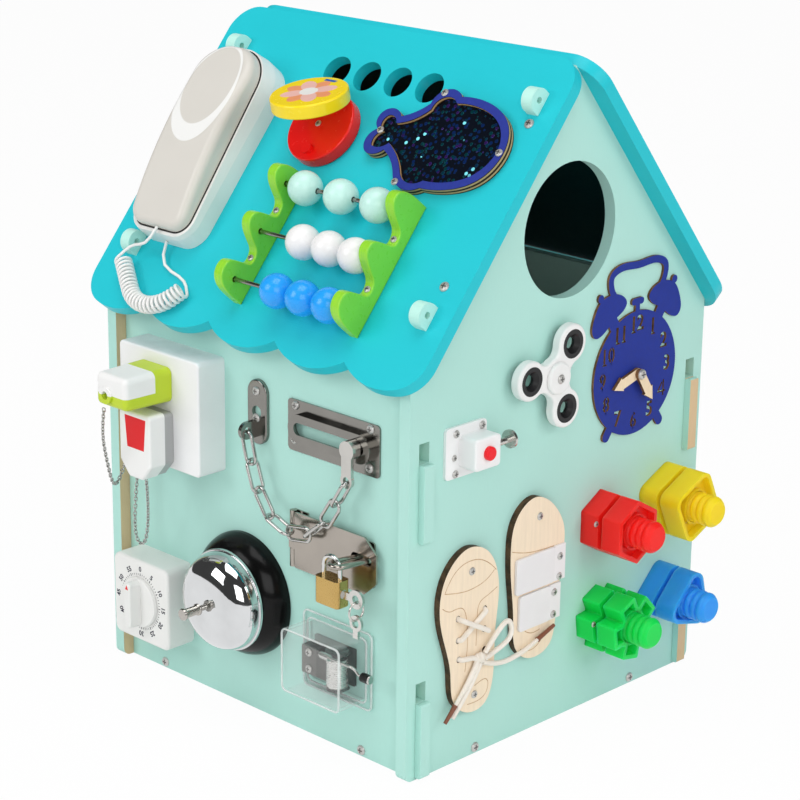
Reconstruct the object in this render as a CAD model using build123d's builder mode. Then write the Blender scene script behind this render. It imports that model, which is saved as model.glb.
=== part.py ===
# Busy house: a wooden play house whose walls and roof carry small activities.
# Millimetres, Z up. The gable with the clock looks to +X, the wall with the
# bell looks to -Y, and the origin is the middle of the base on the floor.
from build123d import *
import math
import os

os.makedirs("parts", exist_ok=True)

# House panels
house_length = 300.0
house_depth = 300.0
panel = 9.0
eave_height = 276.5
ridge_height = 460.5
wall_inset = 9.0
foot_radius = 6.0
wall_top_gap = 0.8
porthole = 92.0
porthole_height = 351.5
fit_gap = 0.15

# Hooked tabs of the eave walls and their slots in the gables
hook_drop = 14.0
hook_neck = 40.0
hook_lip = 5.0
hook_heights = [15.0, 181.0]

# Roof panels
roof_overhang = 13.75
roof_fall = 238.0
scallops = 5
scallop_depth = 11.0
roof_top_radius = 22.0
roof_low_radius = 24.0
finger_holes = 4
finger_hole = 23.0
finger_pitch = 29.5
finger_first = -39.0
finger_down = 39.0

# Wood screws
screw_head = 7.0
screw_head_height = 1.6
screw_shank = 3.0
screw_length = 22.0
floor_screw_spread = 165.0
floor_screw_turn = 200.0
roof_screws_down = [51.0, 172.0]

# Rope eyes on the roof
eye_width = 17.0
eye_height = 13.0
eye_thickness = 9.0
eye_hole = 4.6
eye_places = [(144.5, 36.0), (144.5, 195.0), (-139.0, 36.0), (-136.0, 199.0)]

# Telephone
phone_x = -106.0
phone_top = 45.0
phone_width = 64.0
phone_length = 148.0
cradle_band = 12.0
cradle_shoulder = 20.0
cradle_top_radius = 29.0
cradle_low_radius = 16.0
seam_high = 25.0
seam_low = 16.0
seam_gap = 0.5
handset_inset = 4.0
handset_crown = 16.0
handset_tail = 9.0
handset_edge = 6.0
cap_radius = 17.0
cap_depth = 7.0
cap_clearance = 1.0
cap_spread = 78.0

# Curly cord of the telephone
cord_wire = 2.2
curl_radius = 5.3
curl_pitch = 3.5
curl_bend = 30.0
cord_lift = 0.4

# Castanet
castanet_x = -17.0
castanet_down = 86.0
castanet_diameter = 54.5
castanet_thickness = 10.0
castanet_open = 37.5
castanet_dish = 2.2
castanet_nub = 8.0
castanet_nub_proud = 1.8
castanet_gap = 0.3
castanet_round = 1.5

# Abacus
abacus_left = -20.0
abacus_right = 91.0
bracket_thickness = 8.5
bracket_middle = 172.5
bracket_length = 100.0
bracket_web = 11.5
lobe_radius = 13.5
valley_radius = 3.0
row_pitch = 37.2
rod_height = 16.5
rod_diameter = 3.0
rod_bed = 4.5
bead_diameter = 24.0
bead_bore = 4.2
bead_gap = 0.4
mint_first = 7.0
mint_spacing = 34.0

# Whale window
whale_board = 3.2
board_gap = 0.05

# Spinner on the gable
spinner_y = -22.0
spinner_z = 256.5
spinner_arm = 25.5
spinner_lobe = 13.6
spinner_turn = 54.0
spinner_thickness = 7.5
spinner_standoff = 4.0
spinner_neck = 8.0
weight_diameter = 20.0
weight_bore = 8.0
hub_cap = 22.0
hub_post = 7.9
hub_clearance = 0.05

# Clock on the gable
clock_y = 72.0
clock_z = 238.4
clock_diameter = 89.0
clock_board = 2.0
clock_strap = 5.2
clock_neck = 9.5
clock_foot = 7.4
hand_board = 2.4
hand_gap = 0.4
hour_hand_length = 26.5
minute_hand_length = 25.0
hand_width = 10.2
hand_shaft = 7.4
hand_head = 9.5
pivot_shank = 3.4
hour_hand_angle = 195.5
minute_hand_angle = 303.0

# Push latch on the gable
latch_y = -99.5
latch_z = 222.5
latch_plate_width = 38.5
latch_plate_height = 35.0
latch_plate = 2.2
latch_case_length = 24.5
latch_case_y = -94.25
latch_case_height = 22.0
latch_case_depth = 17.0
latch_bolt_diameter = 5.0
latch_bolt_reach = 15.0
latch_knob = 12.5
latch_knob_thickness = 2.0
latch_bolt_travel = 9.0
latch_bolt_z = 224.0
latch_bolt_out = 10.0
latch_button_diameter = 9.5
latch_button_proud = 3.2
latch_button_y = -94.0
latch_button_deep = 4.2
latch_fit = 0.06

# Practice shoes on the gable
shoe_board = 5.0
lace_shoe = (-98.5, 120.0)
strap_shoe = (-31.5, 141.0)
lace_diameter = 3.6
lace_hole = 4.4
lace_elbow = 2.0
knot_radius = 4.4
lace_holes = [(-107.0, 107.0), (-81.0, 107.0), (-106.5, 91.5), (-81.0, 92.5), (-105.5, 77.5), (-80.5, 77.5)]
knot_place = (-87.0, 74.5)
strap_flap = 39.0
strap_lower_flap = 31.0
strap_tab = 11.0
strap_height = 25.5
strap_thickness = 1.8
strap_gap = 0.3
strap_hinge_y = -13.0
strap_upper_z = 120.5
strap_lower_z = 93.0
strap_lower_shift = -4.0

# Big nuts and bolts on the gable
bolt_head = 15.5
bolt_gap = 3.5
nut_thickness = 16.0
bolt_length = 52.0
thread_core = 19.8
thread_depth = 1.3
thread_pitch = 5.2
bolt_across = 40.0
nut_wall = 3.0
nut_recess = 6.0
nut_boss = 26.0
nut_bore_gap = 0.3
thread_rings = 6
bolt_places = {"red": (41.6, 136.9), "yellow": (109.0, 138.2), "green": (42.9, 65.3), "blue": (107.3, 65.8)}

# Socket box and the two plug fobs on the front wall
socket_x = -77.5
socket_below_eave = 70.7
socket_size = 84.0
socket_depth = 24.0
socket_corner = 3.5
socket_edge = 1.6
fob_gap = 0.3
fob_pin = 4.8
fob_pin_spread = 19.0
fob_pin_length = 14.0
fob_pin_gap = 0.08
green_x = -80.0
green_rise = 20.0
green_width = 34.0
green_height = 25.0
green_length = 40.0
red_x = -77.5
red_fall = 19.0
red_width = 33.0
red_height = 54.0
red_back = 8.5
red_front = 13.5
fob_eye = 6.0
fob_chain = 2.2

# Door chain on the front wall
end_plate_x = 0.0
end_plate_z = 222.0
end_plate_width = 19.0
end_plate_length = 46.0
end_plate_thickness = 3.0
chain_out = 12.6
track_x = 72.5
track_z = 221.0
track_width = 86.5
track_height = 36.0
track_plate = 1.2
track_rim_length = 77.0
track_rim_height = 20.0
track_rim_wall = 2.0
track_rim_out = 6.0
track_slot_length = 66.0
track_slot = 8.6
track_face = 1.5
slider_neck = 8.0
slider_foot = 14.0
slider_knob = 13.0
link_pitch = 19.6
link_width = 12.0
link_wire = 2.5
link_slack = 0.8
chain_eye_z = 209.0
chain_headings = [-74, -70, -54, -20, 10, 40, 56, 58]

# Hasp and padlock on the front wall
hasp_x = 76.0
hasp_z = 141.5
hasp_length = 84.0
hasp_height = 40.0
hasp_sheet = 1.5
hasp_lift = 0.7
knuckle_diameter = 5.0
knuckle_pin = 2.6
knuckle_length = 13.5
pin_gap = 0.06
hasp_slot_x = 105.0
hasp_slot_z = 145.5
hasp_slot_width = 19.0
hasp_slot_height = 7.0
staple_wire = 4.0
staple_width = 10.0
staple_reach = 28.0
staple_lean = 12.0
padlock_x = 94.0
padlock_out = 22.5
padlock_width = 22.0
padlock_height = 19.0
padlock_depth = 12.0
shackle_wire = 3.2
shackle_spread = 15.0
shackle_leg = 7.0
shackle_deep = 5.0
shackle_gap = 0.08
key_plug = 6.0
key_plug_length = 9.0
key_drop = 9.2
key_blade = 2.0
key_bow = 13.0
key_hole = 6.0
key_neck = 4.5
key_ring_diameter = 13.0
key_wire = 1.6

# Call bell on the front wall
bell_x = -14.2
bell_z = 86.0
bell_base = 89.0
bell_base_wall = 3.0
bell_base_height = 17.0
bell_dome = 70.6
bell_dome_base = 17.5
bell_dome_height = 23.5
bell_dome_fullness = 2.7
bell_lip = 72.8
bell_sheet = 1.2
bell_foot = 70.0
bell_post = 11.0
bell_button = 7.6
bell_button_length = 19.0
bell_stem = 4.0
bell_stem_gap = 0.08
bell_travel = 3.5

# Kitchen timer on the front wall
timer_x = -102.0
timer_z = 59.5
timer_width = 60.0
timer_height = 62.0
timer_depth = 24.0
timer_corner = 6.0
timer_edge = 2.5
timer_knob = 37.0
timer_disc = 3.0
timer_grip = 9.0
timer_grip_width = 8.0
timer_gap = 0.3
timer_shaft = 6.0

# Hand cranked music box on the front wall
music_x = 78.0
music_z = 64.5
music_width = 56.0
music_height = 46.0
music_depth = 28.0
music_wall = 1.8
music_flange = 5.0
music_plate = 2.0
drum_diameter = 14.0
drum_length = 20.0
drum_x = 87.0
drum_out = 11.0
drum_z = 61.5
gear_diameter = 16.0
gear_thickness = 2.4
crank_wire = 2.0
worm_diameter = 4.6
crank_z = 75.8
crank_reach = 8.0
crank_throw = 8.0
crank_turn = 235.0
crank_handle = 11.0
crank_grip = 6.4
crank_fit = 0.08

# Faces and directions worked out from the panels
gable_face = house_length / 2
wall_face = house_depth / 2 - wall_inset
slope = math.degrees(math.atan2(ridge_height - eave_height, house_depth / 2))
slope_cos = math.cos(math.radians(slope))
slope_sin = math.sin(math.radians(slope))
ridge_outer = Vector(0, -panel * slope_sin, ridge_height + panel * slope_cos)
eave_edge = ridge_outer.Z - roof_fall * slope_sin
socket_z = eave_edge - socket_below_eave
green_z = socket_z + green_rise
red_z = socket_z - red_fall


# Plane on the front wall: x along the wall, y up, z out of the wall
def on_front(x, z, out=0.0):
    return Plane(origin=(x, -wall_face - out, z), x_dir=(1, 0, 0), z_dir=(0, -1, 0))


# Plane on the clock gable: x along the gable, y up, z out of the gable
def on_gable(y, z, out=0.0):
    return Plane(origin=(gable_face + out, y, z), x_dir=(0, 1, 0), z_dir=(1, 0, 0))


# Plane on the front roof panel: x along the ridge, y up the slope, z out of the roof
def on_roof(x, down, out=0.0):
    y = ridge_outer.Y - down * slope_cos - out * slope_sin
    z = ridge_outer.Z - down * slope_sin + out * slope_cos
    return Plane(origin=(x, y, z), x_dir=(1, 0, 0), z_dir=(0, -slope_sin, slope_cos))


# Label a finished piece and write its file
def keep(part, name):
    part.label = name
    export_step(part, "parts/" + name + ".step")
    print(name, len(part.solids()), "solids", round(part.volume), "mm3")


# Places of the floor screws along each wall and of the roof screws
front_floor_screws = [-floor_screw_turn / 2 - 4, floor_screw_turn / 2]
gable_floor_screws = [-floor_screw_spread / 2, floor_screw_spread / 2]
roof_screw_x = gable_face - panel / 2


# Gable panels: the outline of the house, slotted for the hooked tabs
def gable_outline():
    with BuildLine() as outline:
        Polyline(
            (-house_depth / 2, 0),
            (house_depth / 2, 0),
            (house_depth / 2, eave_height),
            (0, ridge_height),
            (-house_depth / 2, eave_height),
            close=True,
        )
    make_face(outline.edges())
    fillet(vertices().group_by(Axis.Y)[0], foot_radius)


def gable_slots():
    for side in (-1, 1):
        for low in hook_heights:
            middle = (side * (wall_face - panel / 2), low + (hook_neck + hook_drop) / 2)
            with Locations(middle):
                Rectangle(panel + 2 * fit_gap, hook_neck + hook_drop, mode=Mode.SUBTRACT)


def roof_pilot_holes(side):
    for down in roof_screws_down:
        for face in (-1, 1):
            y = -face * (down * slope_cos + panel * slope_sin)
            z = ridge_outer.Z - down * slope_sin
            into = Plane(
                origin=(side * roof_screw_x, y, z),
                x_dir=(1, 0, 0),
                z_dir=(0, face * slope_sin, -slope_cos),
            )
            with BuildSketch(into) as hole:
                Circle(screw_shank / 2)
            extrude(hole.sketch, amount=screw_length, mode=Mode.SUBTRACT)


with BuildPart() as gable_right:
    with BuildSketch(on_gable(0, 0, -panel)):
        gable_outline()
        gable_slots()
        with Locations((0, porthole_height)):
            Circle(porthole / 2, mode=Mode.SUBTRACT)
        for y in gable_floor_screws:
            with Locations((y, panel / 2)):
                Circle(screw_shank / 2, mode=Mode.SUBTRACT)
    extrude(amount=panel)
    roof_pilot_holes(1)
keep(gable_right.part, "gable_right")

with BuildPart() as gable_left:
    with BuildSketch(Plane(origin=(-gable_face, 0, 0), x_dir=(0, 1, 0), z_dir=(1, 0, 0))):
        gable_outline()
        gable_slots()
        for y in gable_floor_screws:
            with Locations((y, panel / 2)):
                Circle(screw_shank / 2, mode=Mode.SUBTRACT)
    extrude(amount=panel)
    roof_pilot_holes(-1)
keep(gable_left.part, "gable_left")

# Eave walls: flat panels whose end tabs pass the gables and hook down outside
wall_top = eave_height + wall_inset * math.tan(math.radians(slope)) - wall_top_gap
wall_half = gable_face - panel


def wall_outline():
    with Locations((0, wall_top / 2)):
        Rectangle(2 * wall_half - 2 * fit_gap, wall_top)
    for side in (-1, 1):
        for low in hook_heights:
            with Locations((side * (wall_half + panel / 2), low + hook_neck / 2)):
                Rectangle(panel + 4 * fit_gap, hook_neck)
            lip_x = side * (gable_face + fit_gap + hook_lip / 2)
            with Locations((lip_x, low + (hook_neck - hook_drop) / 2 + 0.4)):
                RectangleRounded(hook_lip, hook_neck + hook_drop - 0.8, 1.6)
    for x in front_floor_screws:
        with Locations((x, panel / 2)):
            Circle(screw_shank / 2, mode=Mode.SUBTRACT)


with BuildPart() as front_wall:
    with BuildSketch(on_front(0, 0, -panel)):
        wall_outline()
    extrude(amount=panel)
keep(front_wall.part, "front_wall")

with BuildPart() as back_wall:
    with BuildSketch(Plane(origin=(0, wall_face, 0), x_dir=(1, 0, 0), z_dir=(0, -1, 0))):
        wall_outline()
    extrude(amount=panel)
keep(back_wall.part, "back_wall")

# Floor panel between the four walls
floor_y = wall_face - panel
with BuildPart() as floor_panel:
    with BuildSketch():
        Rectangle(2 * wall_half - 2 * fit_gap, 2 * floor_y)
    extrude(amount=panel)
    for side in (-1, 1):
        for y in gable_floor_screws:
            into = Plane(origin=(side * wall_half, y, panel / 2), z_dir=(-side, 0, 0))
            with BuildSketch(into):
                Circle(screw_shank / 2)
            extrude(amount=screw_length, mode=Mode.SUBTRACT)
        for x in front_floor_screws:
            into = Plane(origin=(x, side * floor_y, panel / 2), z_dir=(0, -side, 0))
            with BuildSketch(into):
                Circle(screw_shank / 2)
            extrude(amount=screw_length, mode=Mode.SUBTRACT)
keep(floor_panel.part, "floor_panel")

# Roof panels: scalloped along the eave, rounded at every corner
roof_half = gable_face + roof_overhang
scallop_pitch = 2 * roof_half / scallops


def roof_outline():
    with BuildLine() as outline:
        Polyline((-roof_half, -roof_fall), (-roof_half, 0), (roof_half, 0), (roof_half, -roof_fall))
        for lobe in range(scallops):
            left = -roof_half + lobe * scallop_pitch
            right = left + scallop_pitch
            low = ((left + right) / 2, -roof_fall - scallop_depth)
            ThreePointArc((left, -roof_fall), low, (right, -roof_fall))
    make_face(outline.edges())
    fillet(vertices().group_by(Axis.Y)[-1], roof_top_radius)
    corners = [(-roof_half, -roof_fall), (roof_half, -roof_fall)]
    ends = [v for v in vertices() if any((v.center() - Vector(*c)).length < 0.01 for c in corners)]
    fillet(ends, roof_low_radius)
    for side in (-1, 1):
        for down in roof_screws_down:
            with Locations((side * roof_screw_x, -down)):
                Circle(screw_shank / 2, mode=Mode.SUBTRACT)


with BuildPart() as roof_front:
    with BuildSketch(on_roof(0, 0, -panel)):
        roof_outline()
        for hole in range(finger_holes):
            with Locations((finger_first + hole * finger_pitch, -finger_down)):
                Circle(finger_hole / 2, mode=Mode.SUBTRACT)
    extrude(amount=panel)
keep(roof_front.part, "roof_front")

back_slope = Plane(
    origin=(0, 0, ridge_height),
    x_dir=(-1, 0, 0),
    z_dir=(0, slope_sin, slope_cos),
)
with BuildPart() as roof_back:
    with BuildSketch(back_slope):
        roof_outline()
    extrude(amount=panel)
keep(roof_back.part, "roof_back")


# Wood screw: shank into the wood, domed head on the surface
def wood_screw(plane):
    with BuildSketch(plane) as shank:
        Circle(screw_shank / 2 - 0.02)
    extrude(shank.sketch, amount=-screw_length + 1.0)
    with BuildSketch(plane) as head:
        Circle(screw_head / 2)
    extrude(head.sketch, amount=screw_head_height, taper=35)


with BuildPart() as panel_screws:
    for side in (-1, 1):
        for y in gable_floor_screws:
            wood_screw(Plane(origin=(side * gable_face, y, panel / 2), z_dir=(side, 0, 0)))
        for x in front_floor_screws:
            wood_screw(Plane(origin=(x, side * wall_face, panel / 2), z_dir=(0, side, 0)))
        for down in roof_screws_down:
            wood_screw(on_roof(side * roof_screw_x, down))
            y = -ridge_outer.Y + down * slope_cos
            z = ridge_outer.Z - down * slope_sin
            wood_screw(Plane(origin=(side * roof_screw_x, y, z), z_dir=(0, slope_sin, slope_cos)))
keep(panel_screws.part, "panel_screws")

# Rope eyes: D-shaped blocks glued on the roof near its corners
with BuildPart() as roof_eyelets:
    for x, down in eye_places:
        base = on_roof(x - eye_thickness / 2, down)
        side_face = Plane(origin=base.origin, x_dir=base.y_dir, z_dir=base.x_dir)
        with BuildSketch(side_face):
            with BuildLine():
                straight = eye_height - eye_width / 2
                half = eye_width / 2
                Polyline((half, straight), (half, 0), (-half, 0), (-half, straight))
                ThreePointArc((-eye_width / 2, straight), (0, eye_height), (eye_width / 2, straight))
            make_face()
            with Locations((0, straight + 1.0)):
                Circle(eye_hole / 2, mode=Mode.SUBTRACT)
        extrude(amount=eye_thickness)
keep(roof_eyelets.part, "roof_eyelets")

# Telephone cradle: a moulded tray with wells for the ear and mouth caps
phone_down = phone_top + phone_length / 2
seam_drop = math.degrees(math.atan2(seam_high - seam_low, phone_length))
seam_middle = (seam_high + seam_low) / 2


def phone_outline(inset):
    with BuildLine() as outline:
        half = phone_width / 2 - inset
        end = phone_length / 2 - inset
        Polyline((-half, -end), (half, -end), (half, end), (-half, end), close=True)
    make_face(outline.edges())
    fillet(vertices().group_by(Axis.Y)[-1], cradle_top_radius - inset)
    fillet(vertices().group_by(Axis.Y)[0], cradle_low_radius - inset)


# Seam between cradle and handset, tipped so that the ear end is higher
def seam_plane(lift):
    base = on_roof(phone_x, phone_down, seam_middle + lift)
    return base.rotated((seam_drop, 0, 0))


cap_places = [(0, cap_spread / 2 + 6.0), (0, -cap_spread / 2 - 6.0)]
with BuildPart() as phone_cradle:
    with BuildSketch(on_roof(phone_x, phone_down)):
        phone_outline(0)
    extrude(amount=cradle_band)
    with BuildSketch(on_roof(phone_x, phone_down, cradle_band)):
        phone_outline(0)
    extrude(amount=cradle_shoulder, taper=9)
    split(bisect_by=seam_plane(0), keep=Keep.BOTTOM)
    for place in cap_places:
        with BuildSketch(seam_plane(0)):
            with Locations(place):
                Circle(cap_radius + cap_clearance)
        extrude(amount=-cap_depth - cap_clearance, mode=Mode.SUBTRACT)
keep(phone_cradle.part, "phone_cradle")

# Telephone handset: crowned shell over the cradle, thick at the ear end
with BuildPart() as phone_handset:
    with BuildSketch(seam_plane(seam_gap)):
        phone_outline(handset_inset)
    extrude(amount=handset_crown + 12)
    crown = on_roof(phone_x - phone_width / 2, phone_down)
    with BuildSketch(Plane(origin=crown.origin, x_dir=crown.y_dir, z_dir=crown.x_dir)):
        with BuildLine():
            half = phone_length / 2
            foot = seam_low - 12
            tail = seam_low + handset_tail - 3
            Polyline((half, seam_high + 9), (half, foot), (-half, foot), (-half, tail))
            ThreePointArc(
                (-half, tail),
                (0.18 * half, seam_middle + handset_crown),
                (half, seam_high + 9),
            )
        make_face()
    extrude(amount=phone_width, mode=Mode.INTERSECT)
    top_face = faces().sort_by_distance(on_roof(phone_x, phone_down, 60).origin)[0]
    fillet(top_face.edges(), handset_edge)
    for place in cap_places:
        with BuildSketch(seam_plane(seam_gap)):
            with Locations(place):
                Circle(cap_radius)
        extrude(amount=-cap_depth, taper=4)
keep(phone_handset.part, "phone_handset")

# Curly cord: tail from the handset, curls along a bent axis, tail to the cradle
curl_height = curl_radius + cord_wire / 2 + cord_lift
curl_start = (-133.4, 215.3)
curl_heading = -40.9
curl_turn = 92.0
curl_first_run = 29.0
curl_last_run = 8.0


# Point, tangent and sideways direction of the curl axis at a distance along it
def curl_axis(distance):
    bend = curl_bend * math.radians(curl_turn)
    first = min(distance, curl_first_run)
    middle = min(max(distance - curl_first_run, 0), bend)
    last = distance - first - middle
    start = math.radians(curl_heading)
    angle = start + middle / curl_bend
    x = curl_start[0] + first * math.cos(start)
    x += curl_bend * (math.sin(angle) - math.sin(start)) + last * math.cos(angle)
    up = -curl_start[1] + first * math.sin(start)
    up += -curl_bend * (math.cos(angle) - math.cos(start)) + last * math.sin(angle)
    return x, up, angle


curl_length = curl_first_run + curl_bend * math.radians(curl_turn) + curl_last_run
curls = round(curl_length / curl_pitch) + 0.5
curl_step = curl_length / curls
roof_frame = on_roof(0, 0)


# Place in space of a point on the roof given along, up the slope and out
def roof_point(x, up, out):
    return roof_frame.from_local_coords(Vector(x, up, out))


def curl_point(turn):
    x, up, angle = curl_axis(turn * curl_step)
    side = -curl_radius * math.sin(2 * math.pi * turn)
    out = curl_height + curl_radius * math.cos(2 * math.pi * turn)
    return roof_point(x - side * math.sin(angle), up + side * math.cos(angle), out)


def curl_tangent(turn):
    return (curl_point(turn + 0.001) - curl_point(turn - 0.001)).normalized()


# Two arcs that leave one point and reach the next along given directions
def two_arcs(start, start_way, end, end_way):
    chord = end - start
    both = start_way + end_way
    blend = 2 * (1 - start_way.dot(end_way))
    along = chord.dot(both)
    reach = (-along + math.sqrt(along * along + blend * chord.dot(chord))) / blend
    middle = (start + end + (start_way - end_way) * reach) * 0.5
    middle_way = ((end - end_way * reach) - (start + start_way * reach)).normalized()
    TangentArc(start, middle, tangent=start_way)
    TangentArc(middle, end, tangent=middle_way)


# Radii of a limp tube at the inner points of its route
def bend_radii(points):
    radii = []
    for before, here, after in zip(points, points[1:], points[2:]):
        a = Vector(*here) - Vector(*before)
        b = Vector(*after) - Vector(*here)
        turn = math.radians(a.get_angle(b))
        radii.append(0.45 * min(a.length, b.length) / math.tan(turn / 2))
    return radii


handset_low = phone_top + phone_length - handset_inset
cradle_low = phone_top + phone_length
top_in = curl_point(0)
top_way = curl_tangent(0)
low_out = curl_point(curls)
low_way = curl_tangent(curls)
handset_tail_route = [
    roof_point(phone_x + 3, -handset_low - 0.3, seam_low + 4),
    roof_point(phone_x + 3, -handset_low - 15, seam_low + 4),
    top_in - top_way * 14,
    top_in,
]
cradle_tail_route = [
    low_out,
    low_out + low_way * 14,
    roof_point(phone_x + 3, -cradle_low - 17, 3),
    roof_point(phone_x + 3, -cradle_low - 0.3, 6),
]
with BuildPart() as phone_cord:
    with BuildLine() as cord_line:
        FilletPolyline(*handset_tail_route, radius=bend_radii(handset_tail_route))
        for half in range(int(2 * curls)):
            here = half / 2
            there = here + 0.5
            two_arcs(curl_point(here), curl_tangent(here), curl_point(there), curl_tangent(there))
        FilletPolyline(*cradle_tail_route, radius=bend_radii(cradle_tail_route))
    with BuildSketch(Plane(cord_line.line @ 0, z_dir=cord_line.line % 0)):
        Circle(cord_wire / 2)
    sweep()
cord_length = sum(e.length for e in cord_line.edges())
print("cord", round(cord_length), "mm, bends", [round(r, 1) for r in bend_radii(handset_tail_route)])
print("volume ratio", round(phone_cord.part.volume / (math.pi * cord_wire**2 / 4 * cord_length), 4))
nearest = 99.0
spots = [curl_point(n / 24) for n in range(int(24 * curls))]
for n, spot in enumerate(spots):
    for other in spots[n + 14 : n + 40]:
        nearest = min(nearest, (spot - other).length)
print("gap between curls", round(nearest - cord_wire, 2))
keep(phone_cord.part, "phone_cord")

# Castanet: two dished discs, the upper one hinged at the edge nearest the ridge
castanet_radius = castanet_diameter / 2
dish_radius = (castanet_radius**2 + castanet_dish**2) / (2 * castanet_dish)
with BuildPart() as castanet_base:
    with BuildSketch(on_roof(castanet_x, castanet_down)):
        Circle(castanet_radius)
    extrude(amount=castanet_thickness)
    fillet(edges(), castanet_round)
    with Locations(on_roof(castanet_x, castanet_down, castanet_thickness + dish_radius - castanet_dish)):
        Sphere(dish_radius, mode=Mode.SUBTRACT)
    with BuildSketch(on_roof(castanet_x, castanet_down + 18.5, castanet_thickness - castanet_dish - 1)):
        Circle(castanet_nub / 2)
    extrude(amount=castanet_dish + 1 + castanet_nub_proud)
keep(castanet_base.part, "castanet_base")

rim_down = castanet_down - castanet_radius + castanet_round
castanet_axis = on_roof(castanet_x, rim_down, castanet_thickness - castanet_round)
lid_plane = castanet_axis.rotated((-castanet_open, 0, 0))
lid_reach = castanet_radius - castanet_round
lid_middle = lid_plane.from_local_coords(Vector(0, -lid_reach, castanet_round + castanet_gap))
lid_face = Plane(origin=lid_middle, x_dir=lid_plane.x_dir, z_dir=lid_plane.z_dir)
with BuildPart() as castanet_lid:
    with BuildSketch(lid_face):
        Circle(castanet_radius)
    extrude(amount=castanet_thickness)
    fillet(edges(), castanet_round)
    with Locations(lid_face.offset(castanet_dish - dish_radius)):
        Sphere(dish_radius, mode=Mode.SUBTRACT)
keep(castanet_lid.part, "castanet_lid")

# Abacus: two lobed brackets with three rods and nine beads between them
row_downs = [bracket_middle + row * row_pitch for row in (-1, 0, 1)]
bracket_inside = [abacus_left + bracket_thickness, abacus_right]
with BuildPart() as abacus_brackets:
    for x in (abacus_left, abacus_right):
        base = on_roof(x, bracket_middle)
        with BuildSketch(Plane(origin=base.origin, x_dir=base.y_dir, z_dir=base.x_dir)):
            with Locations((0, bracket_web / 2)):
                Rectangle(bracket_length, bracket_web)
            for row in (-1, 0, 1):
                with Locations((row * row_pitch, rod_height)):
                    Circle(lobe_radius)
            valleys = [v for v in vertices() if abs(v.Y - bracket_web) < 0.01 and abs(v.X) < row_pitch]
            fillet(valleys, valley_radius)
        extrude(amount=bracket_thickness)
    for down in row_downs:
        left = on_roof(bracket_inside[0] - rod_bed, down, rod_height).origin
        with BuildSketch(Plane(origin=left, x_dir=(0, 1, 0), z_dir=(1, 0, 0))):
            Circle(rod_diameter / 2 + 0.05)
        extrude(amount=bracket_inside[1] - bracket_inside[0] + 2 * rod_bed, mode=Mode.SUBTRACT)
keep(abacus_brackets.part, "abacus_brackets")

with BuildPart() as abacus_rods:
    for down in row_downs:
        left = on_roof(bracket_inside[0] - rod_bed + 0.1, down, rod_height).origin
        with BuildSketch(Plane(origin=left, x_dir=(0, 1, 0), z_dir=(1, 0, 0))):
            Circle(rod_diameter / 2)
        extrude(amount=bracket_inside[1] - bracket_inside[0] + 2 * rod_bed - 0.2)
keep(abacus_rods.part, "abacus_rods")


def bead(x, down):
    middle = on_roof(x, down, rod_height)
    half = math.sqrt(bead_diameter**2 - bead_bore**2) / 2
    with BuildSketch(middle) as profile:
        with BuildLine() as outline:
            ThreePointArc((-half, bead_bore / 2), (0, bead_diameter / 2), (half, bead_bore / 2))
            Line((half, bead_bore / 2), (-half, bead_bore / 2))
        make_face(outline.edges())
    revolve(profile.sketch, axis=Axis(middle.origin, (1, 0, 0)))


bead_step = bead_diameter + bead_gap
pushed_right = [bracket_inside[1] - bead_diameter / 2 - bead_gap - n * bead_step for n in range(3)]
with BuildPart() as mint_beads:
    for n in range(3):
        bead(mint_first + n * mint_spacing, row_downs[0])
keep(mint_beads.part, "mint_beads")

with BuildPart() as white_beads:
    for x in pushed_right:
        bead(x, row_downs[1])
keep(white_beads.part, "white_beads")

with BuildPart() as blue_beads:
    for x in pushed_right:
        bead(x, row_downs[2])
keep(blue_beads.part, "blue_beads")


# Whale window: a backing board and an open frame of the same outline
def whale_outline():
    with BuildLine() as outline:
        ThreePointArc((31, -78), (26, -70), (32, -62))
        ThreePointArc((32, -62), (40, -62), (45, -66))
        ThreePointArc((45, -66), (55, -61), (64, -53))
        ThreePointArc((64, -53), (74, -40), (87, -44))
        Spline((87, -44), (113, -45), (136, -58), (143, -76), (136, -97), (114, -110), (91, -113))
        ThreePointArc((91, -113), (75, -116), (63, -107))
        ThreePointArc((63, -107), (55, -98), (45, -92))
        ThreePointArc((45, -92), (38, -96.5), (30, -96))
        ThreePointArc((30, -96), (25, -88), (31, -78))
    make_face(outline.edges())


def whale_opening():
    with BuildLine() as outline:
        ThreePointArc((36.5, -78.7), (31.5, -73), (34.5, -66.8))
        ThreePointArc((34.5, -66.8), (40.5, -67.4), (44, -71.5))
        ThreePointArc((44, -71.5), (56.5, -66.5), (67, -57))
        ThreePointArc((67, -57), (75.5, -45.8), (85.5, -49.3))
        back = [(85.5, -49.3), (111.5, -50.3), (131.5, -61.8), (137.5, -77)]
        belly = [(131, -93.5), (112, -104.8), (91, -107.5)]
        Spline(*back, *belly)
        ThreePointArc((91, -107.5), (77, -111), (67.5, -104))
        ThreePointArc((67.5, -104), (57.5, -93.5), (46.5, -86.5))
        ThreePointArc((46.5, -86.5), (39.5, -91), (32.5, -90.5))
        ThreePointArc((32.5, -90.5), (31.5, -84), (36.5, -78.7))
    make_face(outline.edges(), mode=Mode.SUBTRACT)


with BuildPart() as whale_window:
    with BuildSketch(on_roof(0, 0)):
        whale_outline()
    extrude(amount=whale_board)
    with BuildSketch(on_roof(0, 0, whale_board + board_gap)):
        whale_outline()
        whale_opening()
    extrude(amount=whale_board)
keep(whale_window.part, "whale_window")

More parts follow.
